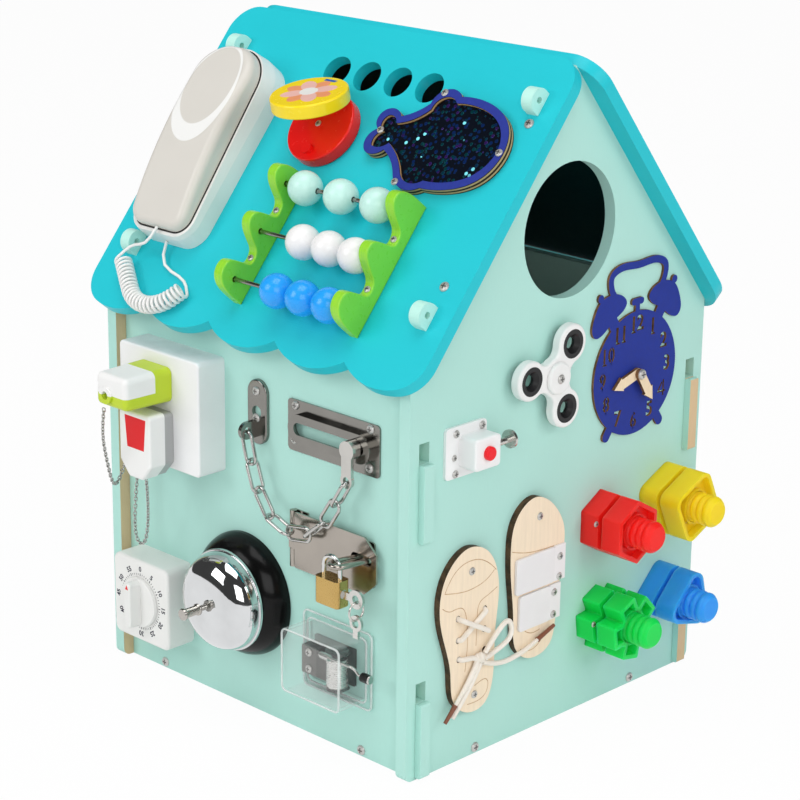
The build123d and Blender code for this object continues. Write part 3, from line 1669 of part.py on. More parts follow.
crown_drop = (bell_post / (bell_dome - 2 * bell_sheet)) ** bell_dome_fullness / bell_dome_fullness
post_top = dome_top - bell_sheet - crown_drop * bell_dome_height - 0.1
with BuildPart() as bell_base_part:
    with BuildSketch(bell_profile):
        with BuildLine():
            Polyline(
                (0, 0),
                (bell_base / 2, 0),
                (bell_base / 2, -bell_base_wall),
            )
            bulge = (bell_base / 4 + bell_foot / 4 + 1.2, -(bell_base_wall + bell_base_height) / 2 - 1.2)
            ThreePointArc((bell_base / 2, -bell_base_wall), bulge, (bell_foot / 2, -bell_base_height))
            Polyline(
                (bell_foot / 2, -bell_base_height),
                (bell_post / 2, -bell_base_height),
                (bell_post / 2, -post_top),
                (0, -post_top),
                (0, 0),
            )
        make_face()
    revolve(axis=bell_axis)
    with BuildSketch(on_front(bell_x, bell_z, post_top - 14)):
        Circle(bell_stem / 2 + bell_stem_gap)
    extrude(amount=15, mode=Mode.SUBTRACT)
keep(bell_base_part.part, "bell_base")

dome_bore = bell_stem / 2 + bell_stem_gap
dome_shares = [0.3, 0.55, 0.75, 0.88, 0.96]
inner_fit = (bell_dome - 2 * bell_sheet) / bell_dome
with BuildPart() as bell_dome_part:
    with BuildSketch(bell_profile):
        with BuildLine():
            skin = [(dome_radius(n), -dome_foot - n * (dome_top - dome_foot)) for n in dome_shares]
            lining = [(r * inner_fit, y + bell_sheet) for r, y in skin[1:]]
            side = bell_dome / 2 - bell_sheet
            Spline((bell_dome / 2, -dome_foot), *skin, (dome_bore, -dome_top), tangents=[(0, -1), (-1, 0)])
            Line((dome_bore, -dome_top), (dome_bore, -dome_top + bell_sheet))
            lining = [(side, -dome_foot)] + lining + [(dome_bore, -dome_top + bell_sheet)]
            Spline(*lining, tangents=[(0, -1), (-1, 0)])
            Line((side, -dome_foot), (bell_dome / 2, -dome_foot))
        make_face()
    revolve(axis=bell_axis)
    with BuildSketch(on_front(bell_x, bell_z, dome_foot)):
        Circle(bell_lip / 2)
        Circle(bell_dome / 2 - 0.6, mode=Mode.SUBTRACT)
    extrude(amount=3)
    fillet(edges().filter_by(GeomType.CIRCLE).filter_by(lambda e: abs(e.radius - bell_lip / 2) < 0.1), 0.8)
keep(bell_dome_part.part, "bell_dome")

press = bell_travel + 0.4
with BuildPart() as bell_plunger:
    with BuildSketch(bell_profile):
        with BuildLine():
            start = -(post_top - 14 + press)
            neck = -(dome_top + press)
            top = -(dome_top + bell_button_length)
            r = bell_button / 2
            Polyline((0, start), (bell_stem / 2, start), (bell_stem / 2, neck), (r, neck), (r, neck - 5))
            Line((r, neck - 5), (r - 1.3, neck - 7))
            Polyline((r - 1.3, neck - 7), (r - 1.3, top + 5), (r - 0.4, top + 4))
            Polyline((r - 0.4, top + 4), (r - 0.4, top), (0, top), (0, start))
        make_face()
    revolve(axis=bell_axis)
    fillet(edges().sort_by(Axis.Y)[0], 2.2)
keep(bell_plunger.part, "bell_plunger")

# Kitchen timer: rounded case and a dial knob with a grip bar
with BuildPart() as timer_case:
    with BuildSketch(on_front(timer_x, timer_z)):
        RectangleRounded(timer_width, timer_height, timer_corner)
    extrude(amount=timer_depth)
    fillet(faces().sort_by(Axis.Y)[0].edges(), timer_edge)
    with BuildSketch(on_front(timer_x, timer_z, timer_depth)):
        Circle(timer_shaft / 2 + shackle_gap)
    extrude(amount=-10, mode=Mode.SUBTRACT)
keep(timer_case.part, "timer_case")

with BuildPart() as timer_knob_part:
    with BuildSketch(on_front(timer_x, timer_z, timer_depth + timer_gap)):
        Circle(timer_knob / 2)
    extrude(amount=timer_disc)
    fillet(edges().sort_by(Axis.Y)[0], 1)
    with BuildSketch(on_front(timer_x, timer_z, timer_depth + timer_gap + 0.5)):
        SlotOverall(timer_knob - 1, timer_grip_width, rotation=90)
    extrude(amount=timer_disc + timer_grip, taper=3)
    fillet(faces().sort_by(Axis.Y)[0].edges(), 1.5)
    with BuildSketch(on_front(timer_x, timer_z, timer_depth + timer_gap + 1)):
        Circle(timer_shaft / 2)
    extrude(amount=-10, mode=Mode.ADD)
keep(timer_knob_part.part, "timer_knob")

# Music box: clear case with a flange, movement, pinned drum and crank
inner = music_depth - music_wall
with BuildPart() as music_case:
    with BuildSketch(on_front(music_x, music_z)):
        RectangleRounded(music_width + 2 * music_flange, music_height + 2 * music_flange, 4)
    extrude(amount=music_plate)
    with BuildSketch(on_front(music_x, music_z)):
        RectangleRounded(music_width, music_height, 4)
    extrude(amount=music_depth)
    fillet(faces().sort_by(Axis.Y)[0].edges(), 2)
    with BuildSketch(on_front(music_x, music_z)):
        RectangleRounded(music_width - 2 * music_wall, music_height - 2 * music_wall, 2.5)
    extrude(amount=inner, mode=Mode.SUBTRACT)
    crank_out = drum_out + gear_diameter / 2 + worm_diameter / 2 + 0.3
    crank_plane = Plane(origin=(music_x, -wall_face - crank_out, crank_z), x_dir=(0, 1, 0), z_dir=(1, 0, 0))
    with BuildSketch(crank_plane):
        Circle(crank_wire / 2 + crank_fit)
    extrude(amount=music_width, mode=Mode.SUBTRACT)
keep(music_case.part, "music_case")

# Movement: bed plate, comb on its block and the two drum bearings
drum_low = drum_z - drum_length / 2
drum_high = drum_z + drum_length / 2
comb_gap = 0.6
comb_right = drum_x - drum_diameter / 2 - comb_gap
comb_left = music_x - music_width / 2 + music_wall + 2
with BuildPart() as music_movement:
    with BuildSketch(on_front(music_x, music_z, 0.3)):
        RectangleRounded(music_width - 2 * music_wall - 1, music_height - 2 * music_wall - 1, 2.5)
    extrude(amount=1.6)
    with BuildSketch(on_front((comb_left + 14 + comb_left) / 2, drum_z, 0.3)):
        Rectangle(14, drum_length)
    extrude(amount=drum_out - 0.8)
    with BuildSketch(on_front((comb_left + comb_right) / 2, drum_z, drum_out - 0.6)):
        Rectangle(comb_right - comb_left, drum_length)
    extrude(amount=1.4)
    for z in (drum_low - 4.6, drum_high + 0.4):
        with BuildSketch(on_front(drum_x, z + 0.9, 0.3)):
            Rectangle(7, 1.8)
        extrude(amount=drum_out + 3.2)
    with BuildSketch(Plane(origin=(drum_x, -wall_face - drum_out, drum_low - 6))):
        Circle(1.5 + crank_fit)
    extrude(amount=drum_length + 12, mode=Mode.SUBTRACT)
keep(music_movement.part, "music_movement")

with BuildPart() as music_drum:
    with BuildSketch(Plane(origin=(drum_x, -wall_face - drum_out, drum_low))):
        Circle(drum_diameter / 2)
    extrude(amount=drum_length)
    with BuildSketch(Plane(origin=(drum_x, -wall_face - drum_out, drum_low - gear_thickness))):
        Circle(gear_diameter / 2 - 0.6)
    extrude(amount=gear_thickness)
    with BuildSketch(Plane(origin=(drum_x, -wall_face - drum_out, drum_low - 4.4))):
        Circle(1.5)
    extrude(amount=crank_z - gear_thickness / 2 - drum_low + 4.5)
    with BuildSketch(Plane(origin=(drum_x, -wall_face - drum_out, crank_z - gear_thickness / 2))):
        Circle(gear_diameter / 2)
    extrude(amount=gear_thickness)
keep(music_drum.part, "music_drum")

case_right = music_x + music_width / 2
crank_start = Vector(drum_x - 6, -wall_face - crank_out, crank_z)
arm_way = Vector(0, -math.cos(math.radians(crank_turn)), math.sin(math.radians(crank_turn)))
crank_elbow = Vector(case_right + crank_reach, crank_start.Y, crank_z)
handle_start = crank_elbow + arm_way * crank_throw
with BuildPart() as music_crank:
    with BuildLine() as crank_line:
        handle_end = handle_start + Vector(crank_handle - 1, 0, 0)
        FilletPolyline(crank_start, crank_elbow, handle_start, handle_end, radius=3)
    with BuildSketch(Plane(crank_start, z_dir=(1, 0, 0))) as section:
        Circle(crank_wire / 2)
    sweep(section.sketch, path=crank_line.wires()[0])
    with BuildSketch(Plane(Vector(drum_x - 4, crank_start.Y, crank_z), z_dir=(1, 0, 0))):
        Circle(worm_diameter / 2)
    extrude(amount=8)
    with BuildSketch(Plane(handle_start + Vector(3.4, 0, 0), z_dir=(1, 0, 0))):
        Circle(crank_grip / 2)
    extrude(amount=crank_handle - 3)
    fillet(edges().sort_by(Axis.X)[-1], 1)
keep(music_crank.part, "music_crank")
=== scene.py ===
import math
import random

import bmesh
import bpy
from mathutils import Matrix, Vector


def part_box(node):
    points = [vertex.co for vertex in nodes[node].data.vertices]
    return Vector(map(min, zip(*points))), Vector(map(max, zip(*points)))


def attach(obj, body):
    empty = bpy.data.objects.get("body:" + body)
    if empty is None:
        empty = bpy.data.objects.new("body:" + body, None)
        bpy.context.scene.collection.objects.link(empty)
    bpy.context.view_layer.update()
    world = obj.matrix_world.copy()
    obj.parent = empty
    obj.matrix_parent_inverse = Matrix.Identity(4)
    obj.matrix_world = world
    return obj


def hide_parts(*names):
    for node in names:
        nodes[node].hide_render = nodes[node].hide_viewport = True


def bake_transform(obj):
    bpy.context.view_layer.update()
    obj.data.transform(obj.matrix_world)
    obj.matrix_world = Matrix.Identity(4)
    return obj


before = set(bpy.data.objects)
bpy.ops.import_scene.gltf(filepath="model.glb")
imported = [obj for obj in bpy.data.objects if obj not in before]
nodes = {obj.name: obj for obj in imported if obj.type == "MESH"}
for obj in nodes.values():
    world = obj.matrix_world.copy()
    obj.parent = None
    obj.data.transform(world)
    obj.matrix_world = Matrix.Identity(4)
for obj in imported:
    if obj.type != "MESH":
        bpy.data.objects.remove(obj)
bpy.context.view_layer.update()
mm = 0.001

# Studio: a white paper floor that runs out of view on all sides, under soft
# boxes overhead, at both sides and towards the near corner. Polished pieces
# see a dark room above the floor, as in a studio with its house lights off.
floor_size = 30.0
floor_white = 0.96
paper_white = (0.9, 0.9, 0.9)
air_light = 0.37
air_mirrored = 0.06
house_middle = Vector((0.0, 0.0, 0.25))
lamps = {
    "lamp_over": ((0.2, -0.5, 2.6), 1.6, 22),
    "lamp_left": ((-0.9, -2.3, 1.5), 1.3, 20),
    "lamp_right": ((2.3, 0.4, 1.3), 1.3, 15),
    "lamp_front": ((1.9, -1.9, 1.3), 1.6, 21),
}
camera_place = Vector((1142.03, -1177.72, 722.60)) * mm
camera_yaw = math.radians(44.245)
camera_pitch = math.radians(-17.704)
camera_roll = math.radians(0.711)
focal_pixels = 2391.5
photo_pixels = 800
sensor = 36.0


class Wire:
    """One socket of a material. Sums and products of wires add Math nodes."""

    def __init__(self, tree, socket=None):
        self.tree = tree
        self.socket = socket

    def feed(self, socket, value):
        if isinstance(value, Wire):
            self.tree.links.new(value.socket, socket)
        elif socket.type == "RGBA" and len(value) == 3:
            socket.default_value = (*value, 1.0)
        else:
            socket.default_value = value

    def node(self, kind, settings=None, sockets=None, pick=0):
        made = self.tree.nodes.new("ShaderNode" + kind)
        for name, value in (settings or {}).items():
            setattr(made, name, value)
        for name, value in (sockets or {}).items():
            self.feed(made.inputs[name], value)
        return Wire(self.tree, made.outputs[pick])

    def beside(self, pick):
        """Another output of the same node."""
        return Wire(self.tree, self.socket.node.outputs[pick])

    def math(self, operation, other=0.0):
        return self.node("Math", {"operation": operation}, {0: self, 1: other})

    def __add__(self, other):
        return self.math("ADD", other)

    def __sub__(self, other):
        return self.math("SUBTRACT", other)

    def __rsub__(self, other):
        return self.node("Math", {"operation": "SUBTRACT"}, {0: other, 1: self})

    def __mul__(self, other):
        return self.math("MULTIPLY", other)

    __radd__ = __add__
    __rmul__ = __mul__

    def ramp(self, low, high):
        return self.node("MapRange", None, {0: self, 1: low, 2: high, 3: 0.0, 4: 1.0})

    def tint(self, dark, light):
        return self.node("Mix", {"data_type": "RGBA"}, {0: self, 6: dark, 7: light}, 2)


def new_object(name, data):
    made = bpy.data.objects.new(name, data)
    bpy.context.scene.collection.objects.link(made)
    return made


def new_mesh_object(name, bm):
    mesh = bpy.data.meshes.new(name)
    bm.to_mesh(mesh)
    bm.free()
    return new_object(name, mesh)


floor_bm = bmesh.new()
bmesh.ops.create_grid(floor_bm, x_segments=1, y_segments=1, size=floor_size)
floor = new_mesh_object("studio_floor", floor_bm)
floor_paper = bpy.data.materials.new("white_floor_paper")
floor_paper.use_nodes = True
paper_nodes = floor_paper.node_tree.nodes
paper = Wire(floor_paper.node_tree, paper_nodes["Principled BSDF"].outputs[0])
paper.feed(paper_nodes["Principled BSDF"].inputs["Base Color"], paper_white)
paper.feed(paper_nodes["Principled BSDF"].inputs["Roughness"], 0.8)
floor_glow = paper.node("Emission", None, {"Color": (1, 1, 1), "Strength": 1.0})
seen = paper.node("LightPath", pick="Is Camera Ray")
mirrored = seen.beside("Is Glossy Ray") + seen.beside("Is Transmission Ray")
floor_share = (seen + mirrored).ramp(0.0, 1.0) * floor_white
floor_mix = paper.node("MixShader", None, {0: floor_share, 1: paper, 2: floor_glow})
paper.feed(paper_nodes["Material Output"].inputs["Surface"], floor_mix)
floor.data.materials.append(floor_paper)

world = bpy.data.worlds.new("studio_air")
bpy.context.scene.world = world
world.use_nodes = True
background = world.node_tree.nodes["Background"].inputs
air = Wire(world.node_tree).node("LightPath", pick="Is Camera Ray")
air_polish = air.beside("Is Glossy Ray") * (air_mirrored - air_light)
air.feed(background["Color"], (1, 1, 1))
air.feed(background["Strength"], air_polish + air * (1.0 - air_light) + air_light)

for lamp_name, (lamp_place, lamp_size, lamp_power) in lamps.items():
    soft_box = bpy.data.lights.new(lamp_name, "AREA")
    soft_box.shape = "SQUARE"
    soft_box.size = lamp_size
    soft_box.energy = lamp_power
    lamp = new_object(lamp_name, soft_box)
    lamp.location = lamp_place
    lamp.rotation_euler = (house_middle - lamp.location).to_track_quat("-Z", "Y").to_euler()

bpy.context.scene.view_settings.view_transform = "Standard"
ahead = Vector((-math.sin(camera_yaw), math.cos(camera_yaw), 0)) * math.cos(camera_pitch)
ahead.z = math.sin(camera_pitch)
level = Vector((math.cos(camera_yaw), math.sin(camera_yaw), 0))
above = level.cross(ahead)
right = math.cos(camera_roll) * level + math.sin(camera_roll) * above
upward = math.cos(camera_roll) * above - math.sin(camera_roll) * level
lens = bpy.data.cameras.new("camera")
lens.sensor_width = sensor
lens.lens = focal_pixels / photo_pixels * sensor
lens.clip_start = 0.05
camera = new_object("camera", lens)
camera.matrix_world = Matrix((right, upward, -ahead)).transposed().to_4x4()
camera.matrix_world.translation = camera_place
bpy.context.scene.camera = camera

# House panels: two gables, two eave walls and a floor of 9 mm board, painted
# a matt mint. Hooked tabs of the walls drop into slots in the gables. Some
# inner lips and tab ends are left as bare wood.
gable_face = 150 * mm
wall_face = 141 * mm
mint = (0.455, 0.76, 0.685)
paint_sheen = 0.3
bare_birch = (0.79, 0.60, 0.37)
birch_glue = (0.52, 0.36, 0.20)
ply_pitch = 3 * mm
inside_shade = 0.06
upright = (8, 8, 0.6)
lengthwise = (0.6, 8, 8)


def sockets_of(material):
    return material.node_tree.nodes["Principled BSDF"].inputs


def new_finish(name, **even):
    """A finish with the values that are even all over, and the places on its piece."""
    material = bpy.data.materials.new(name)
    material.use_nodes = True
    start = Wire(material.node_tree)
    for socket, value in {"specular_ior_level": paint_sheen, **even}.items():
        label = socket.replace("_", " ").title().replace("Ior", "IOR")
        start.feed(sockets_of(material)[label], value)
    return material, start.node("TexCoord", pick="Object")


def lay_on(material, colour, roughness=None, height=None, depth=0.0, strength=0.4, **more):
    """Feeds a finish what changes over the surface. The height makes a fine relief."""
    surface = {"Base Color": colour, "Roughness": roughness, **more}
    if height:
        relief = {"Height": height, "Distance": depth * mm, "Strength": strength}
        surface["Normal"] = height.node("Bump", None, relief)
    for socket, value in surface.items():
        if value is not None:
            colour.feed(sockets_of(material)[socket], value)
    return material


def shade(colour, factor):
    return tuple(min(1.0, channel * factor) for channel in colour)


def noise(place, scale, detail=2.0):
    return place.node("TexNoise", None, {"Vector": place, "Scale": scale, "Detail": detail})


def stretched_noise(place, scale, stretch, detail=3.0):
    drawn = place.node("Mapping", None, {"Vector": place, "Scale": stretch})
    return noise(drawn, scale, detail)


def blotches(place, scale, detail=2.0):
    """Soft patches from 0 to 1."""
    return noise(place, scale, detail).ramp(0.3, 0.7)


def along(place, direction, start=0.0):
    """Distance of the surface point along a direction, in metres."""
    dot = {"operation": "DOT_PRODUCT"}
    return place.node("VectorMath", dot, {0: place, 1: direction}, "Value") - start


def facing(place, direction):
    """How far the surface looks along a direction, from -1 to 1."""
    return along(place.node("NewGeometry", pick="Normal"), direction)


def grain_colour(place, colour, stretch):
    """Pale sanded wood: long soft streaks with finer fibres between them."""
    streaks = stretched_noise(place, 60, stretch, 4.0).ramp(0.32, 0.68)
    fibres = stretched_noise(place, 420, stretch, 2.0).ramp(0.3, 0.7)
    return (streaks * 0.7 + fibres * 0.3).tint(shade(colour, 0.93), shade(colour, 1.03))


def rolled_paint(place, colour, stretch):
    """The slightly uneven colour of rolled paint, and the roller's strokes."""
    strokes = stretched_noise(place, 170, stretch).ramp(0.25, 0.75)
    coats = blotches(place, 9) * 0.6 + strokes * 0.4
    return coats.tint(shade(colour, 0.965), shade(colour, 1.02)), strokes


def painted_wood(name, colour, stretch, gloss, inner_side=None):
    """Rolled paint on board, with painted shade on a side that looks into the house."""
    material, place = new_finish(name, coat_roughness=0.25)
    paint, strokes = rolled_paint(place, colour, stretch)
    # Painted shade: inner faces within the walls are darkened, as the inside of the house lies in shade.
    if inner_side:
        from_middle = along(place, (1, 0, 0)).math("ABSOLUTE")
        from_middle = from_middle.math("MAXIMUM", along(place, (0, 1, 0)).math("ABSOLUTE"))
        within = 1.0 - from_middle.ramp(wall_face - 0.5 * mm, wall_face)
        inside = within * facing(place, inner_side).ramp(0.9, 0.95)
        paint = inside.tint(paint, shade(colour, inside_shade))
    relief = strokes * 0.6 + noise(place, 1400) * 0.4
    return lay_on(material, paint, gloss + 0.10 * strokes, relief, 0.12)


def gable_finish(name, bare_edges):
    """Mint paint on the faces, with bare board on the edges named by direction."""
    material, place = new_finish(name)
    paint, strokes = rolled_paint(place, mint, upright)
    bare = sum(facing(place, direction).ramp(0.7, 0.8) for direction in bare_edges)
    plies = along(place, (1 / ply_pitch, 0, 0)).math("FRACT").ramp(0.45, 0.55)
    board = (plies * 0.35).tint(grain_colour(place, bare_birch, upright), birch_glue)
    return lay_on(material, bare.tint(paint, board), 0.5 + 0.12 * strokes, strokes, 0.1)


def dress(finish, *names):
    for name in names:
        nodes[name].data.materials.clear()
        nodes[name].data.materials.append(finish)


dress(painted_wood("mint_wall_paint", mint, upright, 0.5), "front_wall", "floor_panel")
dress(gable_finish("clock_gable_paint", [(0, 1, 0)]), "gable_right")
dress(gable_finish("back_wall_paint", [(1, 0, 0), (-1, 0, 0)]), "back_wall")
dress(gable_finish("far_gable_paint", [(1, 0, 0)]), "gable_left")

# Roof panels: two boards painted glossy turquoise and screwed to the gables,
# both scalloped along the eave. The front one is bored with four finger holes
# below the ridge.
turquoise = (0.012, 0.55, 0.635)
ridge_height = 460.5
eave_height = 276.5
house_half = 150.0
roof_board = 9.0
roof_slope = math.atan2(ridge_height - eave_height, house_half)
roof_sin = math.sin(roof_slope)
roof_cos = math.cos(roof_slope)
# The inner faces of both roof boards carry painted shade.
inner_sides = {"roof_front": (0, roof_sin, -roof_cos), "roof_back": (0, -roof_sin, -roof_cos)}
for node, inner_side in inner_sides.items():
    dress(painted_wood(node + "_turquoise_paint", turquoise, lengthwise, 0.36, inner_side), node)

# Rope eyes: small D-shaped blocks of wood near the roof's corners, painted
# mint, bored for a cord and fixed to the front roof panel.
dress(painted_wood("rope_eye_paint", shade(mint, 1.12), lengthwise, 0.5), "roof_eyelets")

# Wood screws: zinc-plated pan heads with a cross recess, driven through the
# gables, the eave walls and the roof into the board behind.
panel_head = 7.0
panel_head_height = 1.6
foot_line = 4.5
wall_screws = [-104.0, 100.0]
gable_screws = [-82.5, 82.5]
roof_screws = [(side, down) for side in (-145.5, 145.5) for down in (51.0, 172.0)]
recess_proud = 0.05
roof_out = Vector((0, -roof_sin, roof_cos))
roof_up = Vector((0, roof_cos, roof_sin))
roof_crest = Vector((0, -roof_board * roof_sin, ridge_height + roof_board * roof_cos)) * mm


def stand(origin, x_way, out_way):
    """Matrix that lays a piece drawn flat, facing +Z, on a face of the house."""
    x_way = Vector(x_way)
    out_way = Vector(out_way)
    turned = Matrix((x_way, out_way.cross(x_way), out_way)).transposed().to_4x4()
    turned.translation = origin
    return turned


def on_front(x, z, out=0.0):
    return stand((x * mm, -wall_face - out * mm, z * mm), (1, 0, 0), (0, -1, 0))


def on_gable(y, z, out=0.0):
    return stand((gable_face + out * mm, y * mm, z * mm), (0, 1, 0), (1, 0, 0))


def on_roof(x, down, out=0.0):
    origin = roof_crest + Vector((x * mm, 0, 0)) - roof_up * (down * mm) + roof_out * (out * mm)
    return stand(origin, (1, 0, 0), roof_out)


def plated(name, colour, roughness, scratch=(1, 1, 1), wear=0.12, metal=1.0):
    """Plated or polished metal: fine scratches and a few duller clouds."""
    material, place = new_finish(name, metallic=metal)
    lines = stretched_noise(place, 500, scratch, 4.0).ramp(0.3, 0.7)
    cloud = noise(place, 45, 3.0).ramp(0.35, 0.7)
    tone = cloud.tint(shade(colour, 0.9), colour)
    return lay_on(material, tone, roughness + wear * cloud * lines, lines, 0.02, 0.08)


def turned_piece(bm, profile, place, steps=24):
    """A form turned about the place's own Z from (radius, height) pairs."""
    ring = [bm.verts.new((radius * mm, 0, height * mm)) for radius, height in profile]
    edges = [bm.edges.new(pair) for pair in zip(ring, ring[1:])]
    before = set(bm.faces)
    bmesh.ops.spin(
        bm, geom=ring + edges, cent=(0, 0, 0), axis=(0, 0, 1), angle=math.tau, steps=steps, use_merge=True
    )
    made = {vert for face in bm.faces if face not in before for vert in face.verts}
    bmesh.ops.transform(bm, matrix=place, verts=list(made))


def flat_shape(bm, place, corners, level, depth, material=0):
    """A thin flat form whose upper face lies at a level over the place's plane."""
    face = bm.faces.new([bm.verts.new(place @ (Vector((x, y, level)) * mm)) for x, y in corners])
    face.material_index = material
    drawn = bmesh.ops.extrude_face_region(bm, geom=[face])
    low = [item for item in drawn["geom"] if isinstance(item, bmesh.types.BMVert)]
    bmesh.ops.translate(bm, verts=low, vec=place.to_3x3() @ Vector((0, 0, -depth * mm)))


def close_seams(bm):
    bmesh.ops.remove_doubles(bm, verts=bm.verts, dist=0.002 * mm)
    bmesh.ops.recalc_face_normals(bm, faces=bm.faces)


def smooth_faces(bm, crisp):
    """Shades faces smooth, but for edges that turn by more than so many degrees."""
    for face in bm.faces:
        face.smooth = True
    for edge in bm.edges:
        edge.smooth = edge.calc_face_angle(0.0) < math.radians(crisp)


def fit_piece(made, materials, body):
    """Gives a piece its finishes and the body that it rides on."""
    for material in materials:
        made.data.materials.append(material)
    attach(made, body)
    return made


def finish_piece(name, bm, materials, body, crisp=32.0):
    """Turns a bmesh into a piece that rides on a body of the frame."""
    close_seams(bm)
    smooth_faces(bm, crisp)
    return fit_piece(new_mesh_object(name, bm), materials, body)


screw_zinc = plated("screw_zinc", (0.60, 0.585, 0.565), 0.3, metal=0.62)
# The cross recess is drawn as a dark cross lying in the head: painted shade where the real head has a
# hollow.
recess_shade = plated("recess_painted_shade", (0.16, 0.155, 0.15), 0.5)


def screw_set(name, places, width, height):
    """Pan heads, each standing on its place's plane, with a dark cross of painted shade for the cross
    recess.
    """
    radius = width / 2
    head = [(radius, 0), (radius, 0.35 * height), (0.82 * radius, 0.8 * height), (0.4 * radius, height)]
    arm = 0.55 * radius
    slot = 0.13 * radius
    cross = [(arm, slot), (slot, slot), (slot, arm), (-slot, arm), (-slot, slot), (-arm, slot)]
    cross += [(-x, -y) for x, y in cross]
    bm = bmesh.new()
    for place in places:
        turned_piece(bm, head + [(0, height)], place, 20)
        flat_shape(bm, place, cross, height + recess_proud, 0.5 * height, 1)
    return finish_piece(name, bm, [screw_zinc, recess_shade], "house")


screw_places = []
for along_wall in wall_screws:
    screw_places.append(on_front(along_wall, foot_line))
    screw_places.append(stand((along_wall * mm, wall_face, foot_line * mm), (-1, 0, 0), (0, 1, 0)))
for along_wall in gable_screws:
    screw_places.append(on_gable(along_wall, foot_line))
    screw_places.append(stand((-gable_face, along_wall * mm, foot_line * mm), (0, -1, 0), (-1, 0, 0)))
for side, down in roof_screws:
    screw_places.append(on_roof(side, down))
    front = on_roof(side, down).translation
    screw_places.append(stand((front.x, -front.y, front.z), (-1, 0, 0), (0, roof_sin, roof_cos)))
panel_screws = screw_set("panel_screw_heads", screw_places, panel_head, panel_head_height)
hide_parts("panel_screws")

# Telephone: a white moulded cradle screwed to the roof with a crowned handset
# over it in pale warm grey. A white crescent frames the grey ear panel.
phone_white = (0.83, 0.83, 0.81)
handset_grey = (0.66, 0.635, 0.585)
gap_shadow_black = (0.02, 0.02, 0.02)
ear_panel = (-107.5, 84.0, 22.5, 31.5)
ear_frame = (-107.5, 89.5, 25.5, 39.5)
phone_x = -106.0
phone_down = 119.0
handset_half = 28.0
handset_end = 70.0
handset_top_corner = 25.0
handset_low_corner = 12.0
gap_shadow_width = 0.9
fine_pores = 2600
roof_down = -roof_up
roof_zero = roof_down.dot(roof_crest)


def pores(place, scale):
    """The fine skin of a moulded surface, from 0 to 1."""
    return noise(place, scale, 3.0).ramp(0.35, 0.65)


def plastic_skin(place, colour, gloss, scale):
    """Colour, roughness and height of plastic with a fine skin and slight sink marks."""
    sink = blotches(place, 25)
    skin = pores(place, scale)
    tone = sink.tint(shade(colour, 0.965), shade(colour, 1.01))
    return tone, gloss + 0.06 * sink + 0.05 * skin, skin * 0.5 + sink


def moulded(name, colour, gloss, scale=fine_pores, **even):
    """Injection-moulded plastic of one colour."""
    material, place = new_finish(name, **even)
    return lay_on(material, *plastic_skin(place, colour, gloss, scale), 0.06, 0.3)


def oval(place, middle_x, middle_down, half_width, half_length):
    """Under 1 inside an oval on the roof, over 1 outside."""
    across = along(place, (1 / (half_width * mm), 0, 0), middle_x / half_width)
    reach = roof_down / (half_length * mm)
    down = along(place, reach, roof_zero / (half_length * mm) + middle_down / half_length)
    return across * across + down * down


def cradle_finish(name):
    """White plastic with a painted shadow in the gap round the foot of the handset."""
    material, place = new_finish(name)
    x = along(place, (1, 0, 0), phone_x * mm)
    down = along(place, roof_down, roof_zero + phone_down * mm)
    upper = 1.0 - down.ramp(0.0, 0.1 * mm)
    corner = upper * ((handset_top_corner - handset_low_corner) * mm) + handset_low_corner * mm
    past_side = (x.math("ABSOLUTE") - handset_half * mm + corner).math("MAXIMUM", 0.0)
    past_end = (down.math("ABSOLUTE") - handset_end * mm + corner).math("MAXIMUM", 0.0)
    beyond = (past_side * past_side + past_end * past_end).math("SQRT") - corner
    # Painted shadow: a black band on the cradle's upper face along the foot of the handset.
    near = 1.0 - beyond.ramp(gap_shadow_width * mm, (gap_shadow_width + 0.15) * mm)
    gap_shadow = near * facing(place, roof_out).ramp(0.8, 0.9)
    white, roughness, relief = plastic_skin(place, phone_white, 0.28, fine_pores)
    return lay_on(material, gap_shadow.tint(white, gap_shadow_black), roughness, relief, 0.06, 0.3)


def handset_finish(name):
    """Warm grey plastic with a white crescent, and a groove round that."""
    material, place = new_finish(name, coat_roughness=0.15)
    edge = oval(place, *ear_frame)
    top_side = facing(place, roof_out).ramp(0.35, 0.5)
    crescent = (1.0 - edge.ramp(0.985, 1.015)) * oval(place, *ear_panel).ramp(0.975, 1.025)
    groove = edge.ramp(0.97, 1.0) * (1.0 - edge.ramp(1.0, 1.03))
    skin = pores(place, 2400)
    grey = blotches(place, 22).tint(shade(handset_grey, 0.97), handset_grey)
    colour = (crescent * top_side).tint(grey, phone_white)
    return lay_on(material, colour, 0.3 + 0.07 * skin, skin * 0.05 - groove * top_side, 0.25, 0.5)


dress(cradle_finish("cradle_plastic"), "phone_cradle")
dress(handset_finish("handset_plastic"), "phone_handset")

# Telephone cord: white curled lead with straight tails, from the tail of the
# handset to the foot of the cradle. It lies on the roof along a bent line.
cord_white = (0.86, 0.855, 0.84)
cord_wire = 2.2 * mm
curl_radius = 5.42
curl_height = 6.8
curl_start = (-133.4, 215.3)
curl_heading = math.radians(-40.9)
curl_turn = math.radians(92.0)
curl_bend = 30.0
curl_first_run = 29.0
curl_last_run = 8.0
curl_pitch = 3.5
points_a_turn = 14
short_turn = 0.02
tail_x = -103.0
tail_reach = 14 * mm
handset_low = 189.3
handset_tail = 14.7
handset_tail_height = 20.0
cradle_low = 193.3
cradle_tail = 16.7
cradle_tail_height = 6
cord_rest = 3
curls_length = curl_first_run + curl_bend * curl_turn + curl_last_run
curls = round(curls_length / curl_pitch) + 0.5


def roof_point(x, down, out):
    return on_roof(x, down, out).translation


